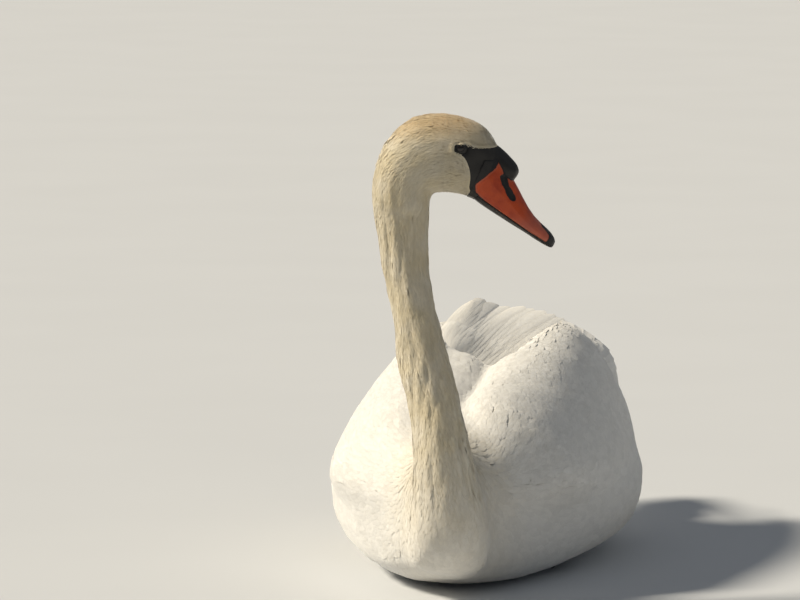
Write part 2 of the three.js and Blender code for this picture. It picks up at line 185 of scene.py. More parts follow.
def placed(name: str, data: bpy.types.ID) -> bpy.types.Object:
    """A new object in the scene."""
    made = bpy.data.objects.new(name, data)
    bpy.context.scene.collection.objects.link(made)
    return made


def make_piece(name: str, mesh: Mesh, material: Material, slot: str) -> bpy.types.Object:
    """Puts a mesh into the scene as a smooth piece that rides on the body.

    Args:
        name: the piece's name.
        mesh: its finished mesh.
        material: its finish.
        slot: a slot name of the record; not used.

    Returns:
        The new object.
    """
    mesh.materials.clear()
    mesh.materials.append(material)
    mesh.polygons.foreach_set("use_smooth", np.ones(len(mesh.polygons), bool))
    piece = placed(name, mesh)
    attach(piece, "root")
    log.info("%s: %d faces", name, len(mesh.polygons))
    return piece


def copy_of_nodes(nodes: dict[str, float]) -> tuple[bmesh.types.BMesh, list[str]]:
    """Copies solids into one bmesh, each swollen or shrunk a little.

    Args:
        nodes: how far the surface of each solid moves out, in millimetres.

    Returns:
        The bmesh, and the name of the node that each face came from.
    """
    whole, owners = bmesh.new(), []
    for node, swell in nodes.items():
        part = bmesh.new()
        part.from_mesh(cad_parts[node].data)
        bmesh.ops.remove_doubles(part, verts=part.verts, dist=0.002 * MM)
        part.normal_update()
        for vertex in part.verts:
            vertex.co += vertex.normal * swell * MM
        owners += [node] * len(part.faces)
        mesh = to_mesh(part, "part")
        whole.from_mesh(mesh)
        bpy.data.meshes.remove(mesh)
    whole.faces.ensure_lookup_table()
    return whole, owners


def with_modifiers(
    mesh: Mesh, *modifiers: tuple[str, dict], weights: Array | None = None
) -> Mesh:
    """The mesh after a chain of modifiers.

    Args:
        mesh: the mesh to start from; it is used up.
        modifiers: each modifier's type and settings.
        weights: an optional weight for each vertex, as the vertex group "part".

    Returns:
        A new mesh.
    """
    carrier = placed("carrier", mesh)
    if weights is not None:
        carrier.vertex_groups.clear()
        group = carrier.vertex_groups.new(name="part")
        for weight in np.unique(weights):
            group.add(np.flatnonzero(weights == weight).tolist(), float(weight), "REPLACE")
    for kind, settings in modifiers:
        modifier = carrier.modifiers.new(kind.lower(), kind)
        for key, value in settings.items():
            setattr(modifier, key, value)
    graph = bpy.context.evaluated_depsgraph_get()
    made = bpy.data.meshes.new_from_object(carrier.evaluated_get(graph))
    bpy.data.objects.remove(carrier)
    return made


def remeshed(
    nodes: dict[str, float], voxel: float, rounds: int, extra: Sequence[Mesh] = ()
) -> Mesh:
    """One smooth mesh through the copies of some solids.

    Args:
        nodes: how far each solid is swollen first, so that they join, in millimetres.
        voxel: the size of the new faces, in millimetres.
        rounds: how often the surface is smoothed.
        extra: closed meshes to take in as well.

    Returns:
        A new mesh.
    """
    joined, _ = copy_of_nodes(nodes)
    for part in extra:
        joined.from_mesh(part)
    remesh = ("REMESH", {"mode": "VOXEL", "voxel_size": voxel * MM, "adaptivity": 0.0})
    smooth = ("SMOOTH", {"factor": 0.5, "iterations": rounds})
    return with_modifiers(to_mesh(joined, "joined"), remesh, smooth)


# ---------------- the bird's own directions
@dataclass(frozen=True)
class HeadFrame:
    """The head's axes: forward along the bill, up, and aside to the bird's left, from between the eyes."""

    eye: Point = (22.5, -222.0, 460.0)
    heading: float = 10.0
    eyeball: Point = (-0.5, 3.0, 20.8)
    eye_radius: float = 7.6

    def axes(self) -> Array:
        """Forward, up and aside, one to a row."""
        c, s = math.cos(math.radians(self.heading)), math.sin(math.radians(self.heading))
        return np.array([[c, s, 0], [0, 0, 1], [-s, c, 0]])

    def local(self, points: Array) -> Array:
        """Forward of, above and aside from the eyes, for points in millimetres."""
        return (points - self.eye) @ self.axes().T

    def world(self, local: Array) -> Array:
        """Points in millimetres, from forward, above and aside."""
        return np.asarray(local) @ self.axes() + self.eye


@dataclass(frozen=True)
class Lie:
    """The way the coat lies: over the head and down the neck, then out and back from the neck's foot."""

    line: tuple[Point, ...] = (
        (66, -214, 440), (22, -222, 452), (-20, -230, 449), (-37, -232, 415), (-36.5, -229, 378),
        (-32.5, -231, 345), (-25, -236, 310), (-16, -241, 275), (-9.5, -246, 240), (1, -250, 205),
        (9.5, -252, 165), (13, -250, 125), (15, -248, 85), (13, -238, 50), (12, -205, 22),
    )  # fmt: skip
    sharpness: float = 2.5
    blunt: float = 3.0
    foot: Point = (12, -235, 120)
    foot_station: float = 428.0
    column: Span = (44, 82)
    neck_rise: Span = (200, 260)
    spread: float = 110.0
    outward: float = 1.6
    back: Point = (0, 1, -0.06)
    wing: Point = (0.056, 1.0, 0.10)
    wing_start: Span = (-190, -90)

    def spans(self) -> tuple[Array, Array, Array, Array]:
        """The line's knots, the steps between them, the steps' lengths and the station of each knot."""
        knots = np.asarray(self.line, float)
        steps = np.diff(knots, axis=0)
        lengths = np.linalg.norm(steps, axis=1)
        return knots, steps, lengths, np.concatenate([[0], np.cumsum(lengths)])

    def distance(self, points: Array) -> Array:
        """How far each point is from the line."""
        knots, steps, _, _ = self.spans()
        nearest = np.full(len(points), np.inf)
        for knot, step in zip(knots, steps):
            t = np.clip((points - knot) @ step / (step @ step), 0, 1)
            nearest = np.minimum(nearest, np.linalg.norm(points - knot - t[:, None] * step, axis=1))
        return nearest

    def flow(self, points: Array) -> tuple[Array, Array, Array]:
        """How the feathers lie.

        Args:
            points: places on the skin, in millimetres.

        Returns:
            For each point a direction, how far it is from the bill, and how much of it is neck or head.
        """
        knots, steps, lengths, starts = self.spans()
        directions, stations, total = np.zeros_like(points), np.zeros(len(points)), np.zeros(len(points))
        nearest = np.full(len(points), np.inf)
        for knot, step, length, start in zip(knots, steps, lengths, starts):
            t = np.clip((points - knot) @ step / length**2, 0, 1)
            gap = np.linalg.norm(points - knot - t[:, None] * step, axis=1)
            weight = (gap + self.blunt) ** (-2 * self.sharpness)
            directions += weight[:, None] * step / length
            stations += weight * (start + t * length)
            total += weight
            nearest = np.minimum(nearest, gap)
        out = points - self.foot
        far = np.linalg.norm(out, axis=1)
        fade = np.exp(-far / self.spread)[:, None]
        body = unit(self.outward * fade * unit(out) + (1 - fade) * np.array(self.back))
        own = np.maximum(ease(points[:, 2], *self.neck_rise), 1 - ease(nearest, *self.column))
        station = stations / total * own + (self.foot_station + far) * (1 - own)
        return unit(unit(directions) * own[:, None] + body * (1 - own[:, None])), station, own


@dataclass(frozen=True)
class Markings:
    """Where the plumage is stained and where the face is bare, for skin and coat alike."""

    head: HeadFrame
    lie: Lie
    mask: Outline = (
        (-6.6, 5.6), (-3.5, 7.2), (3.2, 7.1), (8.5, 5.0), (15, 4.0), (23, 3.1), (31, 2.9), (35.5, 3.4),
        (39, 4.4), (60, 8), (76, -20), (60, -70), (24, -84), (15, -62), (12, -50), (9.8, -41.9),
        (8.2, -36.5), (8.8, -31.1), (9.2, -25.7), (8.5, -19.1), (6.5, -12.4), (3.8, -7.0), (0.5, -3.9),
        (-4.9, -1.8), (-7.2, 1.8),
    )  # fmt: skip
    eye_ring: float = 4.6
    eye_corner: Span = (9.0, -1.0)
    half_face: float = 10.0
    stain_edge: Span = (36, 92)
    stain_foot: Span = (30, 210)
    stain_above: Span = (215, 300)
    stain_faded: float = 0.75
    crown: tuple[Span, Span, Span] = ((6, 30), (-95, -50), (5, 32))
    crown_faded: float = 0.6
    flank: tuple[Span, Span, Span] = ((30, 85), (5, 30), (-120, 60))
    flank_share: float = 0.35

    def bare(self, points: Array) -> Array:
        """Distance inside the bare black face, in millimetres; negative on the feathers."""
        local = self.head.local(points)
        off = local[:, :2] - np.array(self.head.eyeball)[:2]
        corner = np.array(self.eye_corner)
        share = np.clip(off @ corner / (corner @ corner), 0, 1)
        ring = self.eye_ring - np.linalg.norm(off - share[:, None] * corner, axis=1)
        ring = np.where(np.abs(local[:, 2]) > self.half_face, ring, -np.inf)
        return np.maximum(inside_distance(local[:, :2], rounded(self.mask)), ring)

    def of(self, points: Array) -> dict[str, Array]:
        """The numbers that the plumage's material reads at each point."""
        forward, up, _ = self.head.local(points).T
        _, y, z = points.T
        rising, from_nape, to_brow = self.crown
        crown = ease(up, *rising) * ease(forward, *from_nape)
        crown = crown * (1 - self.crown_faded * ease(forward, *to_brow))
        top, bottom, back = self.flank
        flank = (1 - ease(z, *top)) * ease(z, *bottom) * ease(y, *back)
        neck = np.maximum(1 - ease(self.lie.distance(points), *self.stain_edge), ease(z, *self.stain_above))
        neck *= 1 - self.stain_faded * (1 - ease(z, *self.stain_foot))
        return {"stain": np.maximum(neck, self.flank_share * flank), "rust": crown, "bare": self.bare(points)}


# ---------------- finishes
class Recipe:
    """A material in the making: nodes are added by type and joined by socket."""

    def __init__(self, name: str) -> None:
        """Starts with a shader and an output."""
        self.material = bpy.data.materials.new(name)
        self.material.use_nodes = True
        self.tree = self.material.node_tree
        self.shader = self.tree.nodes["Principled BSDF"]

    def set(self, **values: float | Sequence[float]) -> None:
        """Sets sockets of the shader, named with underscores for spaces."""
        for key, value in values.items():
            self.shader.inputs[key.replace("_", " ")].default_value = value

    def add(self, kind: str, inputs: dict | None = None, **settings: object) -> bpy.types.Node:
        """Adds a node; an input is a value, or a socket to join to."""
        node = self.tree.nodes.new(f"ShaderNode{kind}")
        for key, value in settings.items():
            setattr(node, key, value)
        for key, value in (inputs or {}).items():
            if isinstance(value, NodeSocket):
                self.tree.links.new(value, node.inputs[key])
            else:
                node.inputs[key].default_value = value
        return node

    def join(self, source: NodeSocket, target: str) -> None:
        """Joins a socket to an input of the shader."""
        self.tree.links.new(source, self.shader.inputs[target])

    def attribute(self, name: str) -> NodeSocket:
        """The number that each vertex carries under a name."""
        return self.add("Attribute", attribute_name=name).outputs["Fac"]

    def maths(self, operation: str, *values: object) -> NodeSocket:
        """The result of a sum on sockets or numbers."""
        return self.add("Math", dict(enumerate(values)), operation=operation).outputs[0]

    def between(self, value: object, low: float, high: float, a: float = 0.0, b: float = 1.0) -> NodeSocket:
        """A value mapped smoothly from low..high to a..b."""
        inputs = {"Value": value, "From Min": low, "From Max": high, "To Min": a, "To Max": b}
        return self.add("MapRange", inputs, interpolation_type="SMOOTHSTEP").outputs[0]

    def mix(self, amount: object, a: object, b: object, blend: str = "MIX") -> NodeSocket:
        """One colour mixed into another."""
        return self.add("Mix", {0: amount, 6: a, 7: b}, data_type="RGBA", blend_type=blend).outputs[2]

    def noise(self, scale: float, detail: float) -> NodeSocket:
        """Noise over the object's own coordinates."""
        where = self.add("TexCoord").outputs["Object"]
        return self.add("TexNoise", {"Vector": where, "Scale": scale, "Detail": detail}).outputs[0]

    def bump(self, height: object, strength: float, distance: float) -> NodeSocket:
        """A bumpy normal, from a height and its reach in millimetres."""
        inputs = {"Height": height, "Strength": strength, "Distance": distance * MM}
        return self.add("Bump", inputs).outputs[0]


@dataclass(frozen=True)
class SkinFinish:
    """Skin under white feathers, with the same stains, round a bare black face."""

    name: str = "skin_finish"
    white: Colour = (0.87, 0.85, 0.80, 1)
    cream: Colour = (0.70, 0.60, 0.40, 1)
    rust: Colour = (0.58, 0.40, 0.19, 1)
    black: Colour = (0.012, 0.011, 0.010, 1)

    def stained(self, r: Recipe) -> NodeSocket:
        """White, with cream and rust where the marks are."""
        stain = r.maths("MULTIPLY", r.attribute("stain"), r.between(r.noise(38, 3), 0.25, 0.7, 0.72, 1.0))
        colour = r.mix(stain, self.white, self.cream)
        return r.mix(r.maths("MULTIPLY", r.attribute("rust"), 0.75), colour, self.rust)

    def material(self) -> Material:
        """Builds the material."""
        r = Recipe(self.name)
        bare = r.between(r.attribute("bare"), -0.25, 0.25)
        r.join(r.mix(bare, self.stained(r), self.black), "Base Color")
        r.join(r.maths("SUBTRACT", 0.85, r.maths("MULTIPLY", bare, 0.42)), "Roughness")
        r.join(r.bump(r.noise(420, 4), 0.35, 0.3), "Normal")
        r.set(Specular_IOR_Level=0.35)
        return r.material


@dataclass(frozen=True)
class FeatherFinish(SkinFinish):
    """White feathers with barbs that run out from the shaft towards the tip.

    Attributes:
        barbs: groups of barbs along one feather, and streaks across it.
        slant: how far towards the tip a barb reaches, in feather lengths.
        depth: how deep the lines between barbs are, in millimetres.
        glow: how much light passes into the vane.
    """

    name: str = "feather_finish"
    barbs: Span = (9.0, 1.5)
    slant: float = 0.25
    depth: float = 0.02
    glow: float = 0.3

    def material(self) -> Material:
        """Builds the material."""
        r = Recipe(self.name)
        along, across = self.barbs
        tone = r.attribute("tone")
        place = r.add("SeparateXYZ", {0: r.add("UVMap", uv_map="Vane").outputs[0]}).outputs
        aside = r.maths("ABSOLUTE", r.maths("SUBTRACT", r.maths("MULTIPLY", place["X"], 2.0), 1.0))
        row = r.maths("SUBTRACT", place["Y"], r.maths("MULTIPLY", aside, self.slant))
        parts = {
            "X": r.maths("MULTIPLY", aside, across),
            "Y": r.maths("MULTIPLY", row, along),
            "Z": r.maths("MULTIPLY", tone, 37.0),
        }
        spot = r.add("CombineXYZ", parts).outputs[0]
        barbs = r.add("TexNoise", {"Vector": spot, "Scale": 1.0, "Detail": 3.0}).outputs[0]
        light, dim = r.between(tone, 0, 1, 0.95, 1.03), r.between(barbs, 0.3, 0.75, 0.95, 1.02)
        shade = r.maths("MULTIPLY", light, dim)
        grey = r.add("CombineColor", {k: shade for k in range(3)}).outputs[0]
        r.join(r.mix(1.0, self.stained(r), grey, "MULTIPLY"), "Base Color")
        r.join(r.between(barbs, 0.3, 0.7, 0.58, 0.78), "Roughness")
        r.join(r.bump(barbs, 0.5, self.depth), "Normal")
        r.set(Sheen_Weight=0.2, Sheen_Roughness=0.5, Specular_IOR_Level=0.35)
        r.set(Subsurface_Weight=self.glow, Subsurface_Radius=(1.0, 0.9, 0.75), Subsurface_Scale=2.5 * MM)
        return r.material


@dataclass(frozen=True)
class BillFinish:
    """Smooth horn: orange-red inside its outline, black round it, pinker towards the tip."""

    orange: Colour = (0.47, 0.060, 0.010, 1)
    deep: Colour = (0.32, 0.032, 0.008, 1)
    pink: Colour = (0.50, 0.15, 0.10, 1)
    line: Colour = (0.38, 0.20, 0.13, 1)
    black: Colour = (0.010, 0.009, 0.009, 1)

    def material(self) -> Material:
        """Builds the material."""
        r = Recipe("bill_horn")
        mottle = r.noise(90, 4)
        colour = r.mix(r.between(mottle, 0.35, 0.75), self.orange, self.deep)
        colour = r.mix(r.between(r.attribute("tip"), 0, 1, 0, 0.55), colour, self.pink)
        inside = r.attribute("orange")
        rim = r.maths("MULTIPLY", r.between(inside, 0.0, 0.7), r.between(inside, 0.9, 1.9, 1, 0))
        colour = r.mix(r.maths("MULTIPLY", rim, 0.22), colour, self.line)
        shown = r.maths("MINIMUM", inside, r.maths("MULTIPLY", r.attribute("hole"), -1.0))
        ragged = r.maths("ADD", shown, r.between(r.noise(260, 2), 0.3, 0.7, -0.25, 0.25))
        shown = r.between(ragged, -0.3, 0.3)
        r.join(r.mix(shown, self.black, colour), "Base Color")
        rough = r.maths("ADD", r.between(mottle, 0.3, 0.7, 0.34, 0.44), r.between(shown, 0, 1, 0.1, 0))
        r.join(rough, "Roughness")
        r.join(r.bump(r.noise(300, 4), 0.12, 0.25), "Normal")
        r.set(Specular_IOR_Level=0.35)
        return r.material


@dataclass(frozen=True)
class EyeFinish:
    """A wet dark brown eye with a black pupil."""

    iris: Colour = (0.014, 0.007, 0.004, 1)
    fibre: Colour = (0.010, 0.005, 0.003, 1)
    pupil: Colour = (0.002, 0.002, 0.002, 1)
    pupil_edge: Span = (0.20, 0.23)

    def material(self) -> Material:
        """Builds the material."""
        r = Recipe("eye_gloss")
        fibres = r.noise(900, 3)
        iris = r.mix(r.between(fibres, 0.3, 0.7), self.iris, self.fibre)
        r.join(r.mix(r.between(r.attribute("angle"), *self.pupil_edge), self.pupil, iris), "Base Color")
        r.join(r.between(fibres, 0.2, 0.8, 0.05, 0.09), "Roughness")
        r.set(Coat_Weight=0.4, Coat_Roughness=0.03, Specular_IOR_Level=0.3)
        return r.material


@dataclass(frozen=True)
class ScaleSkinFinish:
    """Black skin in small scales, as on legs and webs."""

    dark: Colour = (0.018, 0.018, 0.017, 1)
    pale: Colour = (0.07, 0.068, 0.062, 1)

    def material(self) -> Material:
        """Builds the material."""
        r = Recipe("foot_skin")
        where = r.add("TexCoord").outputs["Object"]
        scales = r.add("TexVoronoi", {"Vector": where, "Scale": 420.0}, feature="DISTANCE_TO_EDGE").outputs[0]
        edge = r.between(scales, 0.0, 0.12)
        r.join(r.mix(edge, self.pale, self.dark), "Base Color")
        r.join(r.between(r.noise(120, 3), 0.3, 0.7, 0.45, 0.65), "Roughness")
        r.join(r.bump(edge, 0.5, 0.4), "Normal")
        return r.material


@dataclass(frozen=True)
class FloorFinish:
    """A plain pale matt floor."""

    colour: Colour = (0.57, 0.59, 0.62, 1)
    shade: float = 0.985

    def material(self) -> Material:
        """Builds the material."""
        r = Recipe("studio_floor")
        shaded = tuple(self.shade * c for c in self.colour)
        r.join(r.mix(r.between(r.noise(3, 2), 0.3, 0.7), self.colour, shaded), "Base Color")
        r.set(Roughness=0.9, Specular_IOR_Level=0.1)
        return r.material


# ---------------- skin
@dataclass
class Skin:
    """One skin over all the flesh, as deep under the solids as the coat is thick.

    Attributes:
        nodes, core: solids that the skin replaces, and others that it runs into, with how far they swell.
        body_share: the share of faces that the body keeps.
        body_start, body_blend: where the body starts along the lie, and where its smoothing sets in.
        coat: the coat's thickness by station; it thins at the bare face and at the floor.
        hollows: centre on either side, inner and outer radius, and strength of extra smoothing.
        fine_face: where faces are halved: how far outside the bare face, how far ahead, and how near the eye.
        ropes: height, wavelength, seed and stretch of each set of ropes that run down the neck.
        swells: height, wavelength and seed of the wide swells under all feathers.
        lore: place, size and depth of the dent before the eye.
        socket: how far beyond the eyeball's centre the skin lies within the lids' opening.
    """

    head: HeadFrame
    lie: Lie
    markings: Markings
    nodes: tuple[str, ...] = (
        "head", "neck_upper", "neck_middle", "neck_lower", "trunk", "wing_left", "wing_right",
        "scapulars_left", "scapulars_right", "bill_knob",
    )  # fmt: skip
    core: dict[str, float] = field(default_factory=lambda: {"bill_upper": -1.0, "bill_lower": -1.0})
    voxel: float = 2.0
    rounds: int = 10
    swell: float = 0.5
    body_share: float = 0.22
    body_rounds: int = 60
    hollow_rounds: int = 150
    body_start: float = 340.0
    body_blend: Span = (320, 400)
    coat: tuple[Span, ...] = (
        (0, 1.4), (60, 2.0), (130, 2.4), (330, 2.8), (450, 3.4), (560, 4.4), (1000, 5.0),
    )  # fmt: skip
    coat_thinned: Span = (-5, -0.8)
    coat_gone: Span = (-0.4, 0.4)
    coat_thin: float = 0.15
    coat_rise: Span = (1, 14)
    hollows: tuple[tuple[Point, float, float, float], ...] = (
        ((84, -185, 102), 35, 80, 1.0),
        ((150, 150, 108), 35, 80, 1.0),
        ((0, -275, 62), 65, 100, 1.0),
        ((37, -232, 403), 26, 44, 0.3),
    )
    fine_face: tuple[float, float, float] = (-4, 75, 9)
    rope_depth: float = 0.9
    rope_ends: tuple[Span, Span] = ((95, 150), (400, 500))
    ropes: tuple[tuple[float, float, int, float], ...] = ((1.0, 15, 5, 0.16), (0.6, 8, 6, 0.2))
    swells: tuple[float, float, int] = (0.5, 55, 7)
    lore: tuple[Span, Span, float] = ((17, -12), (11, 8), 1.3)
    lid_radius: float = 8.0
    opening: Span = (3.7, 3.0)
    socket: float = 3.5
    half_face: float = 12.0
    lowest: float = 0.4
    mesh: Mesh = field(init=False)

    def coat_depth(self, points: Array) -> Array:
        """How thick the coat is over each point, in millimetres."""
        _, station, _ = self.lie.flow(points)
        depth = np.interp(station, *np.array(self.coat).T)
        bare = self.markings.bare(points)
        depth *= 1 - (1 - self.coat_thin) * ease(bare, *self.coat_thinned)
        depth *= 1 - ease(bare, *self.coat_gone)
        return depth * (self.coat_thin + (1 - self.coat_thin) * ease(points[:, 2], *self.coat_rise))

    def build(self, finish: SkinFinish) -> bpy.types.Object:
        """Makes the skin, which replaces the flesh nodes."""
        copies, self.owners = copy_of_nodes(dict.fromkeys(self.nodes, 0.0))
        self.solids = BVHTree.FromBMesh(copies)
        copies.free()
        mesh = remeshed(dict.fromkeys(self.nodes, self.swell) | self.core, self.voxel, self.rounds)
        body = self.lie.flow(coordinates(mesh))[1] > self.body_start
        decimate = ("DECIMATE", {"ratio": self.body_share, "vertex_group": "part"})
        mesh = with_modifiers(mesh, decimate, weights=np.where(body, 1.0, 0.0))
        body = ease(self.lie.flow(coordinates(mesh))[1], *self.body_blend)
        mesh = self.smoothed(mesh, self.body_rounds, body)
        mesh = self.smoothed(mesh, self.hollow_rounds, self.hollow(coordinates(mesh)))
        edge, ahead, near = self.fine_face
        points = coordinates(mesh)
        face = (self.markings.bare(points) > edge) & (self.head.local(points)[:, 0] < ahead)
        mesh = self.refined(mesh, face)
        mesh = self.refined(mesh, self.from_eye(coordinates(mesh))[0] < near)
        self.shape(mesh)
        for name, values in self.markings.of(coordinates(mesh)).items():
            add_attribute(mesh, name, values)
        piece = make_piece("skin", mesh, finish.material(), "plumage_white")
        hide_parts(*self.nodes)
        self.mesh = mesh
        return piece

    @staticmethod
    def smoothed(mesh: Mesh, rounds: int, weights: Array) -> Mesh:
        """The mesh smoothed where the weights are high; they are taken in tenths."""
        smooth = ("SMOOTH", {"factor": 0.5, "iterations": rounds, "vertex_group": "part"})
        return with_modifiers(mesh, smooth, weights=np.round(weights, 1))

    def hollow(self, points: Array) -> Array:
        """How near each point is to a hollow that the down fills, from 0 to 1."""
        total = np.zeros(len(points))
        for (x, y, z), inner, outer, share in self.hollows:
            gap = np.linalg.norm((np.abs(points[:, 0]) - x, points[:, 1] - y, points[:, 2] - z), axis=0)
            total = np.maximum(total, share * (1 - ease(gap, inner, outer)))
        return total

    @staticmethod
    def refined(mesh: Mesh, picked: Array) -> Mesh:
        """Halves the faces of a mesh between the vertices that are picked."""
        work = bmesh.new()
        work.from_mesh(mesh)
        work.verts.ensure_lookup_table()
        edges = [e for e in work.edges if picked[e.verts[0].index] and picked[e.verts[1].index]]
        bmesh.ops.subdivide_edges(work, edges=edges, cuts=1, use_grid_fill=True, smooth=0.35)
        bmesh.ops.triangulate(work, faces=[f for f in work.faces if len(f.verts) > 4])
        work.to_mesh(mesh)
        work.free()
        return mesh

    def from_eye(self, points: Array) -> tuple[Array, Array, Array]:
        """Distance from the eye's axis, the angle round it and the distance aside, for the nearer eye."""
        forward, up, aside = (self.head.local(points) - (*self.head.eyeball[:2], 0)).T
        return np.hypot(forward, up), np.arctan2(up, forward), aside

    def shape(self, mesh: Mesh) -> None:
        """Sinks the skin by the coat's depth, and forms the neck's ropes, the lores and the lids."""
        points, normals = coordinates(mesh), vertex_normals(mesh)
        _, station, own = self.lie.flow(points)
        depth = self.coat_depth(points)
        top, foot = self.rope_ends
        neck = own * ease(station, *top) * (1 - ease(station, *foot))
        ropes = sum(high * ripple(points * (1, 1, long), wave, seed) for high, wave, seed, long in self.ropes)
        depth += neck * self.rope_depth * ropes
        high, wave, seed = self.swells
        depth += high * (1 - ease(self.markings.bare(points), -6, 0)) * ripple(points, wave, seed)
        place, size, deep = self.lore
        off = (self.head.local(points)[:, :2] - place) / size
        depth += deep * np.exp(-(off[:, 0] ** 2) - (off[:, 1] ** 2))
        points = points - normals * depth[:, None]
        radius, angle, aside = self.from_eye(points)
        across, down = self.opening
        rim = 1 / np.hypot(np.cos(angle) / across, np.sin(angle) / down)
        lid = self.head.eyeball[2] + np.sqrt(np.maximum(self.lid_radius**2 - radius**2, 0))
        beside = np.abs(aside) > self.half_face
        local = self.head.local(points)
        bulge = (radius < self.lid_radius) & (radius >= rim) & beside
        local[:, 2] = np.where(bulge, np.sign(aside) * np.maximum(np.abs(aside), lid), local[:, 2])
        socket = np.sign(aside) * (self.head.eyeball[2] + self.socket)
        local[:, 2] = np.where((radius < rim) & beside, socket, local[:, 2])
        points = self.head.world(local)
        points[:, 2] = np.maximum(points[:, 2], self.lowest)
        place_vertices(mesh, points)

    def node_of(self, points: Array) -> Array:
        """The name of the solid nearest to each point."""
        found = [self.solids.find_nearest(Vector(p * MM))[2] for p in points]
        return np.array(self.owners)[found]


# ---------------- feathers
@dataclass(frozen=True)
class Vane:
    """A feather's shape.

    Attributes:
        stops: places along it, from 0 at the root to 1 at the tip.
        widths: the half width at each stop, as a share of the widest.
        thickness: of the vane at its shaft, in millimetres.
        camber: how far the edges droop, as a share of the half width.
        soft: how rounded the vane shades, as on downy feathers whose edges melt together; 0 for stiff ones.
        section: places across and heights round one section.
    """

    stops: tuple[float, ...]
    widths: tuple[float, ...]
    thickness: float
    camber: float
    soft: float
    section: Outline = ((-1, 0), (0, 1), (1, 0))


PLUSH = Vane((0, 0.6, 1), (0.8, 1.0, 0.22), 0.08, 0.03, 0.05)
SLENDER = Vane((0, 0.35, 0.75, 1), (0.7, 1.0, 0.8, 0.14), 0.12, 0.06, 0.16)
CONTOUR = Vane((0, 0.35, 0.65, 0.88, 1), (0.5, 0.95, 1.0, 0.66, 0.12), 0.12, 0.04, 0.05)
COVERT = Vane((0, 0.3, 0.6, 0.82, 0.94, 1), (0.5, 0.85, 1.0, 0.86, 0.5, 0.12), 0.14, 0.03, 0.04)
QUILLED = (
    (-1, 0), (-0.5, 0.6), (-0.06, 0.7), (0, 2.4), (0.06, 0.7), (0.5, 0.6), (1, 0), (0.5, -0.6), (0, -0.9),
    (-0.5, -0.6),
)  # fmt: skip


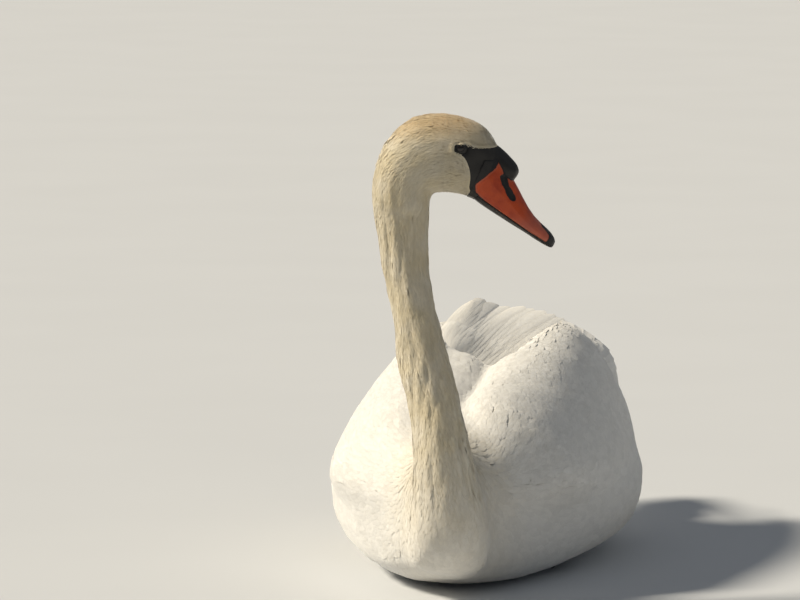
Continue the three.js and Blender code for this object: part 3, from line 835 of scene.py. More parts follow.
@dataclass
class Laid:
    """Feathers laid in place: stations along each, with the surface's normal, half width and unwrap place.

    Attributes:
        patch: the size of a feather's own patch on the unwrap.
        lowest: the least height of any vertex, in millimetres.
        tip_share: the share of the thickness that a pointed tip keeps.
    """

    centres: Array
    normals: Array
    half: Array
    unwrap: Array
    tone: Array
    patch: float = 0.003
    lowest: float = 0.2
    tip_share: float = 0.15

    def mesh(self, name: str, vane: Vane, markings: Markings) -> Mesh:
        """Joins the feathers into one mesh of closed vanes.

        Args:
            name: the mesh's name.
            vane: the shape that they share.
            markings: gives the colours at their roots.

        Returns:
            The mesh, with the maps OFBake and Vane.
        """
        section = np.array(vane.section, float)
        shape = count, stations, ring = (*self.centres.shape[:2], len(section))
        points, aside = self.surface(vane, section)
        quads, caps = self.faces(ring)
        corners = np.concatenate([quads.ravel(), caps.ravel()])
        sizes = np.repeat([4, ring], [len(quads), len(caps)])
        mesh = bpy.data.meshes.new(name)
        mesh.vertices.add(len(points))
        mesh.vertices.foreach_set("co", (points * MM).astype(np.float32).ravel())
        mesh.loops.add(len(corners))
        mesh.loops.foreach_set("vertex_index", corners.astype(np.int32))
        mesh.polygons.add(len(sizes))
        mesh.polygons.foreach_set("loop_start", (np.cumsum(sizes) - sizes).astype(np.int32))
        mesh.update(calc_edges=True)
        mesh.polygons.foreach_set("use_smooth", np.ones(len(sizes), bool))
        self.crease(mesh, section, stations)
        if vane.soft:
            facing = self.normals[:, :, None] + vane.soft * section[:, :1] * aside[:, :, None]
            facing = unit(facing).reshape(-1, 3)[corners]
            under = np.roll(section[:, 0], -1) < section[:, 0]
            under = np.tile(under, (stations - 1) * count).repeat(4)
            facing[: len(under)][under] *= -1
            mesh.normals_split_custom_set(facing)
        along = np.broadcast_to(np.linspace(0, 1, stations)[:, None], shape)
        over = np.broadcast_to(section[:, 0], shape)
        patch = 0.5 * self.patch * np.stack([over, 2 * along - 1], -1)
        self.add_map(mesh, "OFBake", self.unwrap[:, None, None] + patch, corners)
        self.add_map(mesh, "Vane", np.stack([over * 0.5 + 0.5, along], -1), corners)
        marks = markings.of(self.centres[:, 0]) | {"tone": self.tone}
        for key in ("stain", "rust", "tone"):
            add_attribute(mesh, key, np.repeat(marks[key], stations * ring))
        return mesh

    def surface(self, vane: Vane, section: Array) -> tuple[Array, Array]:
        """The vertices, ring by ring along each feather, and the way across each ring."""
        forward = unit(np.gradient(self.centres, axis=1))
        aside = unit(np.cross(forward, self.normals))
        upward = np.cross(aside, forward)
        taper = np.minimum(1, self.half / self.half.max(axis=1, keepdims=True) + self.tip_share)
        across = self.half[:, :, None] * section[:, 0]
        height = 0.5 * vane.thickness * taper[:, :, None] * section[:, 1]
        height = height - vane.camber * self.half[:, :, None] * section[:, 0] ** 2
        points = self.centres[:, :, None] + aside[:, :, None] * across[..., None]
        points = (points + upward[:, :, None] * height[..., None]).reshape(-1, 3)
        points[:, 2] = np.maximum(points[:, 2], self.lowest)
        return points, aside

    def faces(self, ring: int) -> tuple[Array, Array]:
        """The vertices of each face along the feathers, and of each face that closes an end."""
        count, stations, _ = self.centres.shape
        here = np.arange(ring)
        after = np.roll(here, -1)
        strip = np.stack([here, after, after + ring, here + ring], 1)
        strips = [strip + k * ring for k in range(stations - 1)]
        ends = np.stack([here[::-1], here + (stations - 1) * ring])
        starts = np.arange(count)[:, None, None] * stations * ring
        return (np.concatenate(strips) + starts).reshape(-1, 4), (ends + starts).reshape(-1, ring)

    @staticmethod
    def crease(mesh: Mesh, section: Array, stations: int) -> None:
        """Makes the rims of the vanes sharp, so that each shades as a thin flat blade."""
        ends, ring = read(mesh.edges, "vertices", 2, np.int32), len(section)
        place, station = ends % ring, ends // ring % stations
        rim = np.abs(section[:, 0]) == 1
        sides = (place[:, 0] == place[:, 1]) & rim[place[:, 0]]
        caps = (station[:, 0] == station[:, 1]) & np.isin(station[:, 0], (0, stations - 1))
        mesh.attributes.new("sharp_edge", "BOOLEAN", "EDGE").data.foreach_set("value", sides | caps)

    @staticmethod
    def add_map(mesh: Mesh, name: str, places: Array, corners: Array) -> None:
        """Adds a UV map from one place for each vertex."""
        layer = mesh.uv_layers.new(name=name)
        layer.data.foreach_set("uv", places.reshape(-1, 2)[corners].astype(np.float32).ravel())


class Part(Enum):
    """The tracts that the coat is made in, by the solid under them."""

    FACE = "face"
    NECK = "neck"
    BODY = "body"
    WING = "wing"


@dataclass(frozen=True)
class Tract:
    """One stretch of the coat.

    Attributes:
        name: the piece's name.
        part: the kind of tract.
        nodes: the solids that it grows on.
        stations: where it starts and ends along the lie, in millimetres.
        spacing: distance between roots at its start and end.
        length: a feather's length, in spacings.
        width: a feather's half width, in spacings.
        vane: the feathers' shape.
        stray: random turn, in degrees.
        uneven: random change of the height of the tips, as a share.
        clump: distance between the tips that feathers gather to, in millimetres; 0 for none.
        finish: the feathers' finish.
    """

    name: str
    part: Part
    nodes: tuple[str, ...]
    stations: Span
    spacing: Span
    length: float
    width: float
    vane: Vane
    stray: float
    uneven: float
    clump: float = 0.0
    finish: FeatherFinish = FeatherFinish()


@dataclass(frozen=True)
class Ruffle:
    """A patch where the feathers stand in disorder."""

    centre: Point
    reach: float
    strength: float


RUFFLES = (
    Ruffle((-42, -234, 486), 12, 1.3),
    Ruffle((-56, -235, 470), 15, 1.5),
    Ruffle((-66, -237, 450), 13, 1.4),
    Ruffle((-28, -255, 385), 12, 0.6),
    Ruffle((44, 62, 227), 26, 0.2),
    Ruffle((-4, 75, 222), 30, 0.45),
    Ruffle((0, -60, 208), 16, 0.5),
)


@dataclass
class Coat:
    """The small feathers of head, neck, body and wings, over the skin.

    Attributes:
        sunk: how far the roots lie under the skin, in millimetres.
        risen: where along a feather it has come up to the coat's surface.
        overlap: how far inside the bare face roots may stand, in millimetres.
        slope: the share of the rise that goes on as far as the tip.
        mingle: how far tracts run into each other, by station.
        crowded: how much closer the roots stand near the bare face, and where.
        spare: roots drawn for each one that is kept, roughly.
        gather, gather_reach: how much clumps draw together, and how far ahead, in clumps.
        ruffled: what disorder adds to the turn and to the height.
        long, wide: the range of random lengths and widths.
        seam, border: where the unwrap is cut open, and its empty border.
    """

    skin: Skin
    lie: Lie
    markings: Markings
    seed: int = 11
    sunk: float = 0.4
    risen: float = 0.5
    overlap: float = 1.1
    slope: float = 0.12
    mingle: tuple[Span, ...] = ((90, 0), (115, 12), (300, 12), (380, 0))
    crowded: tuple[float, Span] = (0.35, (-9, -1))
    spare: int = 5
    gather: float = 0.2
    gather_reach: float = 2.2
    ruffled: Span = (3.5, 0.22)
    long: Span = (0.85, 1.12)
    wide: Span = (0.9, 1.1)
    seam: Point = (0, 0.34, 0.94)
    border: float = 0.03

    def prepare(self) -> None:
        """Reads the skin: its faces, areas, smooth normals and the solid under each."""
        mesh = self.skin.mesh
        mesh.calc_loop_triangles()
        corners, points = read(mesh.loop_triangles, "vertices", 3, np.int32), coordinates(mesh)
        self.triangles = points[corners]
        edges = self.triangles[:, 1:] - self.triangles[:, :1]
        self.areas = 0.5 * np.linalg.norm(np.cross(edges[:, 0], edges[:, 1]), axis=1)
        self.facing = unit(vertex_normals(mesh)[corners].sum(1))
        self.middles = self.triangles.mean(1)
        self.owners = self.skin.node_of(self.middles)
        self.flow, self.stations, _ = self.lie.flow(self.middles)
        mingled = np.random.default_rng(self.seed).uniform(-1, 1, len(self.middles))
        self.stations = self.stations + mingled * np.interp(self.stations, *np.array(self.mingle).T)
        self.tree = BVHTree.FromPolygons([Vector(p) for p in points], corners.tolist())

    @staticmethod
    def disorder(points: Array) -> Array:
        """How ruffled the coat is at each point, from 0 up."""
        total = np.zeros(len(points))
        for patch in RUFFLES:
            gap = np.linalg.norm(points - np.array(patch.centre), axis=1)
            total += patch.strength * np.exp(-((gap / patch.reach) ** 2))
        return total

    def place_along(self, tract: Tract, points: Array, stations: Array) -> Array:
        """How far through the tract each point is, from 0 to 1."""
        if tract.part is Part.WING:
            stations = points[:, 1]
        return np.clip((stations - tract.stations[0]) / (tract.stations[1] - tract.stations[0]), 0, 1)

    def spacing(self, tract: Tract, points: Array, stations: Array) -> Array:
        """The distance between roots at each point."""
        start, end = tract.spacing
        spacing = start + (end - start) * self.place_along(tract, points, stations)
        if tract.part is Part.FACE:
            share, near = self.crowded
            spacing *= 1 - share * ease(self.markings.bare(points), *near)
        return spacing

    def roots(self, tract: Tract, rng: np.random.Generator) -> tuple[Array, Array, Array]:
        """Evenly spaced roots on the tract's part of the skin.

        Args:
            tract: the stretch to cover.
            rng: the source of chance.

        Returns:
            The roots, the skin's face under each and the spacing there.
        """
        low, high = tract.stations
        inside = np.isin(self.owners, tract.nodes)
        if tract.part is not Part.WING:
            inside &= (self.stations >= low) & (self.stations < high)
        faces = np.flatnonzero(inside)
        spacing = self.spacing(tract, self.middles[faces], self.stations[faces])
        weights = self.areas[faces] / spacing**2
        count = int(weights.sum() * self.spare)
        picked = rng.choice(faces, count, p=weights / weights.sum())
        u, v = np.sort(rng.random((2, count)), axis=0)
        shares = np.stack([u, v - u, 1 - v], 1)
        points = (self.triangles[picked] * shares[..., None]).sum(1)
        clear = self.markings.bare(points) < self.overlap
        points, picked = points[clear], picked[clear]
        spacing = self.spacing(tract, points, self.stations[picked])
        kept = self.thinned(points, spacing)
        return points[kept], picked[kept], spacing[kept]

    @staticmethod
    def thinned(points: Array, spacing: Array) -> Array:
        """The points that are left when none is nearer to another than its spacing."""
        tree = tree_of(points)
        alive = np.ones(len(points), bool)
        kept = []
        for i, point in enumerate(points):
            if not alive[i]:
                continue
            kept.append(i)
            for _, other, _ in tree.find_range(point, spacing[i]):
                alive[other] = False
        return np.array(kept)

    def directions(self, tract: Tract, points: Array, faces: Array, rng: np.random.Generator) -> Array:
        """The way that each feather points, before it is laid on the skin."""
        flow = self.flow[faces].copy()
        if tract.part is Part.WING:
            x, y, z = self.lie.wing
            side = np.sign(points[:, :1])
            swept = unit(np.hstack([x * side, np.full_like(side, y), np.full_like(side, z)]))
            own = ease(points[:, 1:2], *self.lie.wing_start)
            flow = unit(flow * (1 - own) + swept * own)
        if tract.clump:
            centres = points[self.thinned(points, np.full(len(points), tract.clump))]
            tree = tree_of(centres)
            reach = self.gather_reach * tract.clump
            target = centres[[tree.find(p)[1] for p in points]] + flow * reach
            flow = unit((1 - self.gather) * flow + self.gather * unit(target - points))
        normals = self.facing[faces]
        stray = tract.stray * (1 + self.ruffled[0] * self.disorder(points))
        turn = np.radians(rng.normal(0, 1, len(points)) * stray)[:, None]
        flow = unit(flow - normals * (flow * normals).sum(1, keepdims=True))
        return flow * np.cos(turn) + np.cross(normals, flow) * np.sin(turn)

    def laid(
        self, points: Array, faces: Array, flow: Array, reach: Array, stops: Sequence[float]
    ) -> tuple[Array, Array]:
        """Lays lines of stations over the skin.

        Args:
            points: the roots.
            faces: the skin's face under each root.
            flow: the way that each line starts.
            reach: each line's length.
            stops: places of the stations, from 0 to 1.

        Returns:
            The points on the skin and the normals there.
        """
        centres = np.empty((len(points), len(stops), 3))
        normals = np.empty_like(centres)
        steps = np.diff(stops)
        for i, (point, way, length) in enumerate(zip(points, flow, reach)):
            place, normal, way = Vector(point), Vector(self.facing[faces[i]]), Vector(way)
            centres[i, 0], normals[i, 0] = place, normal
            for k, step in enumerate(steps, 1):
                target = place + way * step * length
                place, _, face, _ = self.tree.find_nearest(target)
                normal = Vector(self.facing[face])
                way = (way - normal * way.dot(normal)).normalized()
                centres[i, k], normals[i, k] = place, normal
        return centres, normals

    def unwrap(self, points: Array) -> Array:
        """Places on an unwrap of the skin: round the line that the coat lies along, and down it."""
        _, station, _ = self.lie.flow(points)
        knots, _, _, starts = self.lie.spans()
        here, ahead = (np.stack([np.interp(station + k, starts, a) for a in knots.T], 1) for k in (0, 1))
        way = unit(ahead - here)
        side = unit(np.cross(way, self.seam))
        over = np.cross(side, way)
        out = points - here
        angle = np.arctan2((out * side).sum(1), (out * over).sum(1))
        low, high = station.min(), station.max() + 1
        flat = np.stack([angle / (2 * math.pi) + 0.5, (station - low) / (high - low)], 1)
        return self.border + (1 - 2 * self.border) * flat

    def grow(self, tract: Tract, material: Material, slot: str) -> None:
        """Covers one tract with feathers of the given finish."""
        rng = np.random.default_rng(self.seed + sum(map(ord, tract.name)))
        points, faces, spacing = self.roots(tract, rng)
        flow = self.directions(tract, points, faces, rng)
        reach = tract.length * spacing * rng.uniform(*self.long, len(points))
        centres, normals = self.laid(points, faces, flow, reach, tract.vane.stops)
        stops = np.array(tract.vane.stops)
        rise = (1 - self.slope) * (1 - (1 - np.clip(stops / self.risen, 0, 1)) ** 2) + self.slope * stops
        depth = self.skin.coat_depth(centres.reshape(-1, 3)).reshape(centres.shape[:2])
        uneven = tract.uneven + self.ruffled[1] * self.disorder(points)[:, None]
        lift = depth * (1 + uneven * rng.normal(0, 1, (len(points), 1)))
        centres = centres + normals * (rise * lift - (1 - rise) * self.sunk)[..., None]
        widest = tract.width * spacing * rng.uniform(*self.wide, len(points))
        half = np.array(tract.vane.widths) * widest[:, None]
        laid = Laid(centres, normals, half, self.unwrap(points), rng.random(len(points)))
        make_piece(tract.name, laid.mesh(tract.name, tract.vane, self.markings), material, slot)


# ---------------- flight feathers
@dataclass(frozen=True)
class Fan:
    """A row of long feathers that lie like shingles along one bowed sheet.

    Attributes:
        roots, tips: points of the curves that the feathers start and end on.
        out: roughly the way that the sheet faces.
        count: number of feathers.
        arch: how far the sheet bows out between roots and tips, in millimetres.
        widen: a feather's half width, in distances between neighbours.
        least: the least that a feather's half width comes to, in millimetres.
        point: how pointed the tips are, from 0 to 1.
        tilt: how steeply each feather leans over its neighbour, in degrees.
        paired: whether the lean changes sides in the middle of the row.
        ragged: what is added to the length of each feather in turn, in millimetres.
        taper: the length of a blunt tip in half widths, and what a pointed one has more.
        tuck: how far coverts start behind the roots of this row, as a share of its length.
        crowd: how closely the stations stand towards the tip.
        narrow, gain, full: the width at the root, as a share, what it gains, and where it has gained it.
    """

    roots: tuple[Point, ...]
    tips: tuple[Point, ...]
    out: Point
    count: int
    arch: float = 0.0
    widen: float = 1.7
    least: float = 6.0
    point: float = 0.5
    tilt: float = -1.6
    paired: bool = False
    ragged: tuple[float, ...] = (0,)
    taper: Span = (1.2, 2.2)
    tuck: float = 0.08
    crowd: float = 1.6
    narrow: float = 0.55
    gain: float = 0.45
    full: float = 0.3

    def lines(self, t: Array, u: Array) -> Array:
        """Points of the sheet before it is bowed, across it by t and from root to tip by u."""
        root, tip = along_curve(self.roots, t), along_curve(self.tips, t)
        return root[:, None] + (tip - root)[:, None] * u[None, :, None]

    def coverts(self, share: float, lift: float, count: int) -> Fan:
        """A shorter row of feathers over the roots of this one.

        Args:
            share: where its tips come, as a share of this row's length.
            lift: how far its tips lie over this row, in millimetres.
            count: number of feathers.

        Returns:
            The new row.
        """
        t = np.linspace(0, 1, 6)
        root, tip = along_curve(self.roots, t), along_curve(self.tips, t)
        over = lift * unit(np.array(self.out, float))
        back, ahead = root - self.tuck * (tip - root) - over, root + share * (tip - root) + over
        roots, tips = (tuple(map(tuple, row)) for row in (back, ahead))
        return replace(self, roots=roots, tips=tips, count=count, least=4.0, ragged=(0, -3, 1, -5, 2, -2))

    def laid(self, side: float, seed: int, stations: int = 16) -> Laid:
        """Lays the feathers of one side.

        Args:
            side: 1 for the left and -1 for the right.
            seed: starts the random changes.
            stations: points along each feather.

        Returns:
            The feathers.
        """
        rng = np.random.default_rng(seed)
        step = 1 / (self.count - 1 + 2 * self.widen)
        t = step * (np.arange(self.count) + self.widen)
        u = 1 - (1 - np.linspace(0, 1, stations)) ** self.crowd
        flat = self.lines(t, u)
        beside = self.lines(t + step / 2, u) - self.lines(t - step / 2, u)
        gap = np.linalg.norm(beside, axis=-1)
        beside = unit(beside)
        length = np.linalg.norm(flat[:, -1:] - flat[:, :1], axis=-1, keepdims=True)
        face = np.cross(beside, (flat[:, -1:] - flat[:, :1]) / length)
        face = unit(face) * np.sign((face @ np.array(self.out)).sum())
        change = np.resize(self.ragged, self.count) + rng.normal(0, 1, self.count)
        bow = self.arch * 4 * u * (1 - u)
        stretched = (flat - flat[:, :1]) * (1 + change[:, None, None] / length)
        centres = flat[:, :1] + stretched + face * bow[:, None]
        lean = math.tan(math.radians(self.tilt)) * (np.sign(t - 0.5) if self.paired else np.ones(self.count))
        normals = unit(face + lean[:, None, None] * beside)
        blade = np.maximum(self.widen * gap, self.least)
        blunt, pointed = self.taper
        taper = blade[:, -4:-3] * (blunt + pointed * self.point) / length[:, 0]
        end = np.clip((1 - u) / taper, 0.001, 1)
        outline = (1 - (1 - end) ** 2) ** (0.5 + 0.5 * self.point)
        outline = outline * (self.narrow + self.gain * np.clip(u / self.full, 0, 1))
        half = blade * np.maximum(outline, 0.03)
        centres[..., 0] *= side
        normals[..., 0] *= side
        unwrap = np.stack([0.05 + 0.9 * t, np.full(self.count, 0.5)], 1)
        return Laid(centres, normals, half, unwrap, rng.random(self.count))


FLIGHT = Vane((), (), 0.36, 0.06, 0.0, QUILLED)
SAIL = Vane((), (), 0.28, 0.05, 0.14, QUILLED)
FLIGHT_FINISH = FeatherFinish("flight_feather_finish", barbs=(55.0, 2.0), slant=0.10, depth=0.06, glow=0.25)


@dataclass
class FlightFeathers:
    """Tertials, secondaries, primaries and tail, with the coverts over the tail's root."""

    markings: Markings
    folded_tertials: Fan = Fan(
        ((16, 112, 192), (34, 128, 202), (52, 136, 220), (70, 146, 224)),
        ((-4, 302, 204), (16, 306, 214), (42, 284, 224), (66, 246, 222)),
        (0, 0, 1), 9, widen=1.3, tilt=-3.0, ragged=(0, 9, -8, 4, -13, 6),
    )  # fmt: skip
    raised_tertials: Fan = Fan(
        ((0, 84, 190), (18, 94, 206), (38, 100, 224), (58, 110, 228)),
        ((-61, 302, 226), (-37, 303, 234), (-10, 306, 240), (14, 299, 241), (34, 277, 251), (44, 262, 250)),
        (0, 0, 1), 20, arch=6.5, point=0.8,
        ragged=(0, -3, 2, -6, 3, -3, 1, -5, 4, -3, -3, 4, -10, 2, -11, -12, 2, -3, 1, 0),
    )  # fmt: skip
    secondaries: Fan = Fan(
        ((62, 196, 226), (110, 204, 198), (124, 210, 146)),
        ((48, 322, 228), (95, 330, 194), (108, 342, 146)),
        (1, 0, 0.5), 9, arch=4, widen=1.3, tilt=-3.0, ragged=(0, 7, -7, 3, -10, 5),
    )  # fmt: skip
    primaries: Fan = Fan(
        ((68, 262, 168), (100, 248, 150), (110, 242, 124)),
        ((12, 404, 182), (17, 428, 174), (22, 440, 165)),
        (1, 0, 1), 7, arch=12, least=9, point=1.0, ragged=(-22, -8, 0, -2, -10, -24, -42),
    )  # fmt: skip
    tail: Fan = Fan(
        ((-40, 314, 120), (0, 314, 132), (40, 314, 120)),
        ((-64, 424, 138), (0, 486, 150), (64, 424, 138)),
        (0, 0, 1), 18, widen=1.45, point=1.0, tilt=-4.0, paired=True, ragged=(0, -5, -2, -7),
    )  # fmt: skip
    upper_coverts: Fan = Fan(
        ((-44, 286, 132), (0, 280, 150), (44, 286, 132)),
        ((-56, 376, 142), (0, 420, 157), (56, 376, 142)),
        (0, 0, 1), 18, arch=4, widen=1.9, point=0.7, paired=True, ragged=(0, -9, -3, -14),
    )  # fmt: skip
    under_coverts: Fan = Fan(
        ((-42, 284, 104), (0, 280, 96), (42, 284, 104)),
        ((-52, 372, 124), (0, 408, 130), (52, 372, 124)),
        (0, 0, -1), 18, arch=4, widen=1.9, point=0.7, paired=True, ragged=(0, -9, -3, -14),
    )  # fmt: skip

    def rows(self) -> Iterator[tuple[str, str, Fan, float, int]]:
        """Each row's name, the solid it replaces, its fan, its side and its seed."""
        tertials = {"left": self.folded_tertials, "right": self.raised_tertials}
        for side, sign in SIDES.items():
            own = tertials[side]
            yield f"tertial_feathers_{side}", f"tertials_{side}", own, sign, 1
            yield f"secondary_feathers_{side}", f"secondaries_{side}", self.secondaries, sign, 2
            yield f"primary_feathers_{side}", f"primaries_{side}", self.primaries, sign, 3
            yield f"tertial_coverts_{side}", f"tertials_{side}", own.coverts(0.42, 2.0, 18), sign, 7
            over = self.secondaries.coverts(0.5, 2.5, 13)
            yield f"secondary_coverts_{side}", f"secondaries_{side}", over, sign, 8
        yield "tail_feathers", "tail", self.tail, 1.0, 4
        yield "upper_tail_coverts", "tail", self.upper_coverts, 1.0, 5
        yield "under_tail_coverts", "tail", self.under_coverts, 1.0, 6

    def build(self) -> None:
        """Makes all the rows in place of their solids."""
        material = FLIGHT_FINISH.material()
        for name, node, fan, sign, seed in self.rows():
            vane = SAIL if node.startswith("tertials") else FLIGHT
            mesh = fan.laid(sign, seed).mesh(name, vane, self.markings)
            piece = make_piece(name, mesh, material, "plumage_white")
            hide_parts(node)


# ---------------- bill, eyes and feet
@dataclass
class Bill:
    """The horn of the bill: upper half with its nail, and lower half."""

    head: HeadFrame
    voxel: float = 0.8
    rounds: int = 5
    swell: float = 0.2
    base_swell: float = 0.75
    base_length: float = 8.0
    base_top: float = -9.0
    root: Span = (37, 1.5)
    gape: Span = (13.5, -50)
    pit: float = 1.5
    pit_slope: float = 2.6
    no_orange: float = -5.0
    tip: Span = (70, 105)
    orange: Outline = (
        (37.9, -12), (35.2, -16.7), (29.8, -21.4), (23.2, -26.7), (17.9, -30.7), (15.2, -33.5),
        (14.4, -36.2), (15.2, -40.9), (17.2, -43.5), (21.9, -48.2), (31.2, -55.6), (41.9, -63.6),
        (51.3, -69.7), (57.9, -74.4), (71.2, -82.6), (80.6, -88.7), (84.6, -91.1), (86.6, -89.8),
        (88, -85.7), (85.3, -81.1), (80.7, -73.6), (92, -66), (64, -20), (52.5, -29.9), (47.4, -28.4),
        (43.4, -24.4), (40.9, -17.3),
    )  # fmt: skip
    nostril: Outline = (
        (38.9, -25.5), (42.5, -23.2), (45.9, -25.5), (47.2, -31.5), (49.2, -36.9), (51.9, -40.9),
        (54.2, -45.7), (54.6, -49.3), (51.9, -50.6), (48.6, -48.3), (45.9, -44.2), (43.9, -39.5),
        (41.2, -34.2), (39.5, -28.8),
    )  # fmt: skip

    def build(self, finish: BillFinish) -> None:
        """Makes both halves in place of their solids."""
        material = finish.material()
        self.half("bill_horn_upper", ("bill_upper", "bill_nail"), material, "bill_orange", True)
        self.half("bill_horn_lower", ("bill_lower",), material, "bill_black", False)

    def base(self) -> Mesh:
        """The horn behind the root of the bill: the part of the head ahead of one plane and below another."""
        work, _ = copy_of_nodes({"head": self.base_swell})
        axes = self.head.axes()
        root, gape = (self.head.world([*corner, 0]) for corner in (self.root, self.gape))
        ahead = np.cross(unit(gape - root), axes[2])
        cuts = ((root - ahead * self.base_length, ahead), (self.head.world([0, self.base_top, 0]), -axes[1]))
        for place, keep in cuts:
            everything = work.verts[:] + work.edges[:] + work.faces[:]
            plane = {"plane_co": Vector(place * MM), "plane_no": Vector(keep)}
            bmesh.ops.bisect_plane(work, geom=everything, clear_inner=True, **plane)
            bmesh.ops.holes_fill(work, edges=[e for e in work.edges if e.is_boundary])
        bmesh.ops.triangulate(work, faces=work.faces)
        bmesh.ops.recalc_face_normals(work, faces=work.faces)
        return to_mesh(work, "base")

    def half(self, name: str, nodes: tuple[str, ...], material: Material, slot: str, based: bool) -> None:
        """Makes one half of the bill, with its base on the head where it has one."""
        extra = [self.base()] if based else []
        mesh = remeshed(dict.fromkeys(nodes, self.swell), self.voxel, self.rounds, extra)
        points, normals = coordinates(mesh), vertex_normals(mesh)
        flat = self.head.local(points)[:, :2]
        hole = inside_distance(flat, rounded(self.nostril))
        orange = inside_distance(flat, rounded(self.orange))
        if "lower" in name:
            orange = np.full(len(points), self.no_orange)
        points -= normals * (self.pit * ease(hole, 0, self.pit_slope))[:, None]
        place_vertices(mesh, points)
        add_attribute(mesh, "orange", orange)
        add_attribute(mesh, "hole", hole)
        add_attribute(mesh, "tip", ease(0.3 * flat[:, 0] - flat[:, 1], *self.tip) * ease(orange, -1, 2))
        piece = make_piece(name, mesh, material, slot)
        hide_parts(*nodes)


@dataclass
class Eyes:
    """Both eyeballs, with a thin dark rim of lid round each; it stands proud of the eyeball."""

    head: HeadFrame
    opening: Span
    rim: float = 0.32
    proud: float = 0.1
    bare: float = 5.0

    def build(self, finish: EyeFinish, lid: Material) -> None:
        """Makes both eyes in place of their solids."""
        material = finish.material()
        forward, up, aside = (Vector(v) for v in self.head.axes())
        for name, side in SIDES.items():
            ahead, above, beside = self.head.eyeball
            centre = Vector(self.head.world([ahead, above, side * beside])) * MM
            turn = Matrix((forward, up, aside * side)).transposed().to_4x4()
            ball = bmesh.new()
            bmesh.ops.create_uvsphere(ball, u_segments=40, v_segments=28, radius=self.head.eye_radius * MM)
            angles = [v.co.angle(Vector((0, 0, 1)), 0.0) for v in ball.verts]
            ball.transform(Matrix.Translation(centre) @ turn)
            bmesh.ops.recalc_face_normals(ball, faces=ball.faces)
            mesh = to_mesh(ball, f"eyeball_{name}")
            add_attribute(mesh, "angle", np.array(angles)[put_in_order(mesh)])
            piece = make_piece(f"eyeball_{name}", mesh, material, "eye")
            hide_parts(f"eye_{name}")
            self.lid_rim(name, centre, turn, lid)

    def lid_rim(self, name: str, centre: Vector, turn: Matrix, material: Material) -> None:
        """Makes the rim of one lid: a round cord spun round the opening, then fitted to the eyeball."""
        work = bmesh.new()
        made = bmesh.ops.create_circle(work, segments=10, radius=self.rim)
        quarter = Matrix.Translation((1, 0, 0)) @ Matrix.Rotation(math.pi / 2, 4, "X")
        bmesh.ops.transform(work, matrix=quarter, verts=made["verts"])
        turn_once = {"cent": (0, 0, 0), "axis": (0, 0, 1), "angle": 2 * math.pi, "steps": 48}
        bmesh.ops.spin(work, geom=work.edges[:], use_merge=True, **turn_once)
        bmesh.ops.remove_doubles(work, verts=work.verts, dist=0.01)
        wide, high = self.opening
        for vertex in work.verts:
            flat = Vector(vertex.co.xy)
            reach = flat.length - 1 if flat.length else 0.0
            way = flat.normalized()
            spot = Vector((way.x * (wide + reach), way.y * (high + reach)))
            lift = math.sqrt(max(self.head.eye_radius**2 - spot.length_squared, 0))
            vertex.co = Vector((spot.x, spot.y, vertex.co.z + lift + self.proud)) * MM
        work.transform(Matrix.Translation(centre) @ turn)
        bmesh.ops.recalc_face_normals(work, faces=work.faces)
        mesh = to_mesh(work, f"lid_rim_{name}")
        put_in_order(mesh)
        add_attribute(mesh, "bare", np.full(len(mesh.vertices), self.bare))
        make_piece(f"lid_rim_{name}", mesh, material, "bill_black")


@dataclass
class Feet:
    """Legs and webbed feet, tucked under the belly."""

    voxel: float = 1.3
    rounds: int = 4
    swell: float = 0.2

    def build(self, finish: ScaleSkinFinish) -> None:
        """Makes both legs with their feet in place of their solids."""
        material = finish.material()
        for side in SIDES:
            nodes = (f"leg_{side}", f"foot_{side}")
            mesh = remeshed(dict.fromkeys(nodes, self.swell), self.voxel, self.rounds)
            points = coordinates(mesh)
            points[:, 2] = np.maximum(points[:, 2], 0.0)
            place_vertices(mesh, points)
            piece = make_piece(f"leg_and_foot_{side}", mesh, material, "foot_skin")
            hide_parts(*nodes)


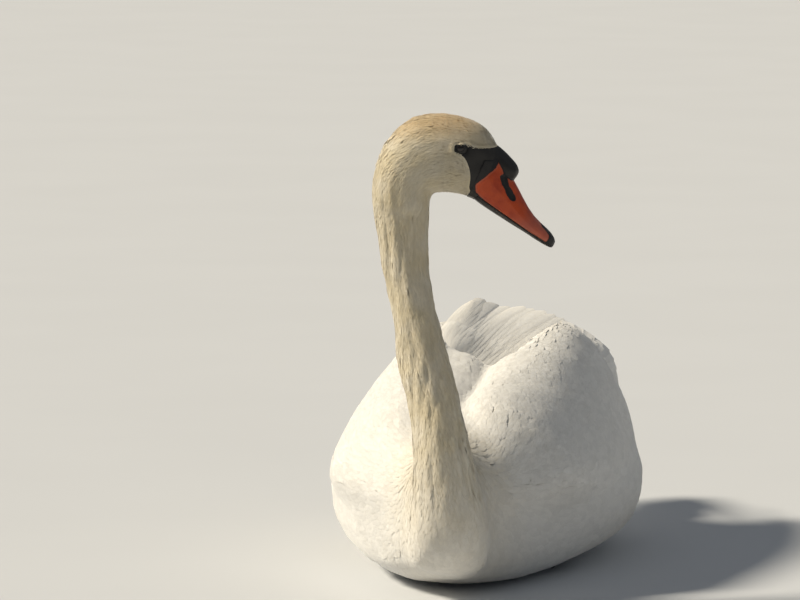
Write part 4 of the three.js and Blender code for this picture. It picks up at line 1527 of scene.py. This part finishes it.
# ---------------- studio
@dataclass
class Studio:
    """A pale floor, soft lights and the camera, in metres; the lens and sensor are in millimetres."""

    camera_at: Point = (0.828, -5.140, 0.885)
    azimuth: float = 10.0
    elevation: float = 6.6
    lens: float = 225.0
    sensor: float = 36.0
    clip: Span = (0.1, 200.0)
    floor_radius: float = 60.0
    sky: Colour = (0.84, 0.89, 0.95, 1)
    sky_strength: float = 0.20
    lamps: tuple[tuple[str, float, float, float, float, Point], ...] = (
        ("key", -90, 40, 5.0, 12, (1.0, 0.90, 0.73)),
        ("fill", 60, 40, 0.16, 60, (0.88, 0.94, 1.0)),
    )

    def build(self) -> None:
        """Sets up floor, lights, world and camera."""
        work = bmesh.new()
        bmesh.ops.create_circle(work, cap_ends=True, segments=96, radius=self.floor_radius)
        mesh = to_mesh(work, "floor")
        mesh.materials.append(FloorFinish().material())
        floor = placed("floor", mesh)
        for settings in self.lamps:
            self.lamp(*settings)
        world = bpy.data.worlds.new("studio")
        world.use_nodes = True
        background = world.node_tree.nodes["Background"].inputs
        background["Color"].default_value = self.sky
        background["Strength"].default_value = self.sky_strength
        bpy.context.scene.world = world
        bpy.context.scene.view_settings.view_transform = "Standard"
        data = bpy.data.cameras.new("camera")
        data.lens, data.sensor_width = self.lens, self.sensor
        data.clip_start, data.clip_end = self.clip
        camera = placed("camera", data)
        camera.location = self.camera_at
        camera.rotation_euler = (math.radians(90 - self.elevation), 0, math.radians(self.azimuth))
        bpy.context.scene.camera = camera

    def lamp(
        self, name: str, azimuth: float, elevation: float, power: float, softness: float, colour: Point
    ) -> None:
        """Adds one far, soft lamp.

        Args:
            name: the lamp's name.
            azimuth: where it stands, in degrees from the camera's side, to the right.
            elevation: how high it stands, in degrees.
            power: its power, in watts to a square metre.
            softness: how wide it looks, in degrees.
            colour: its colour.
        """
        data = bpy.data.lights.new(name, "SUN")
        data.energy, data.angle, data.color = power, math.radians(softness), colour
        lamp = placed(name, data)
        a, e = math.radians(azimuth + self.azimuth), math.radians(elevation)
        way = Vector((math.sin(a) * math.cos(e), -math.cos(a) * math.cos(e), math.sin(e)))
        lamp.location = way
        lamp.rotation_euler = way.to_track_quat("Z", "Y").to_euler()


# ---------------- the bird
HEAD_NODES = ("head", "neck_upper")
NECK_NODES = ("head", "neck_upper", "neck_middle", "neck_lower", "trunk", "wing_left", "wing_right")
BODY_NODES = ("trunk", "neck_lower", "scapulars_left", "scapulars_right")

PLUSH_FINISH = FeatherFinish("plush_feather_finish", barbs=(4.0, 1.0), depth=0.004, glow=0.35)
LOCK_FINISH = FeatherFinish("neck_feather_finish", barbs=(3.0, 2.5), slant=0.1, depth=0.01, glow=0.35)

TRACTS = (
    Tract(
        "face_feathers", Part.FACE, HEAD_NODES, (-50, 70), (1.35, 1.5), 4.2, 0.85, PLUSH, 5, 0.02,
        finish=PLUSH_FINISH,
    ),
    Tract(
        "nape_feathers", Part.FACE, NECK_NODES, (70, 128), (1.45, 1.6), 6.5, 0.8, SLENDER, 5, 0.05,
        finish=LOCK_FINISH,
    ),
    Tract(
        "upper_neck_feathers", Part.NECK, NECK_NODES, (128, 235), (1.6, 1.7), 8.0, 0.95, SLENDER, 4, 0.035,
        6, LOCK_FINISH,
    ),
    Tract(
        "middle_neck_feathers", Part.NECK, NECK_NODES, (235, 330), (1.7, 1.9), 8.0, 0.95, SLENDER, 3, 0.025,
        7, LOCK_FINISH,
    ),
    Tract(
        "lower_neck_feathers", Part.NECK, NECK_NODES, (330, 430), (1.9, 2.8), 7.5, 1.1, SLENDER, 3, 0.02,
        8, LOCK_FINISH,
    ),
    Tract("breast_feathers", Part.BODY, BODY_NODES, (430, 640), (2.8, 4.4), 6.5, 1.05, CONTOUR, 4, 0.015),
    Tract("body_feathers", Part.BODY, BODY_NODES, (640, 1300), (4.4, 6.5), 6.5, 1.0, CONTOUR, 4, 0.015),
    *(
        Tract(
            f"{side}_wing_coverts", Part.WING, (f"wing_{side}",), (-190, 310), (3.6, 7.5), 7.0, 1.05, COVERT,
            3, 0.012,
        )
        for side in SIDES
    ),
)  # fmt: skip


def main() -> None:
    """Builds the swan and its studio."""
    logging.basicConfig(level=logging.INFO, format="%(name)s: %(message)s")
    head, lie = HeadFrame(), Lie()
    markings = Markings(head, lie)
    Studio().build()
    skin = Skin(head, lie, markings)
    skin_piece = skin.build(SkinFinish())
    materials = {finish.name: finish.material() for finish in dict.fromkeys(t.finish for t in TRACTS)}
    coat = Coat(skin, lie, markings)
    coat.prepare()
    for tract in TRACTS:
        slot = "plumage_neck" if tract.part in (Part.FACE, Part.NECK) else "plumage_white"
        coat.grow(tract, materials[tract.finish.name], slot)
    FlightFeathers(markings).build()
    Bill(head).build(BillFinish())
    Eyes(head, skin.opening).build(EyeFinish(), skin_piece.data.materials[0])
    Feet().build(ScaleSkinFinish())


if __name__ == "__main__":
    main()
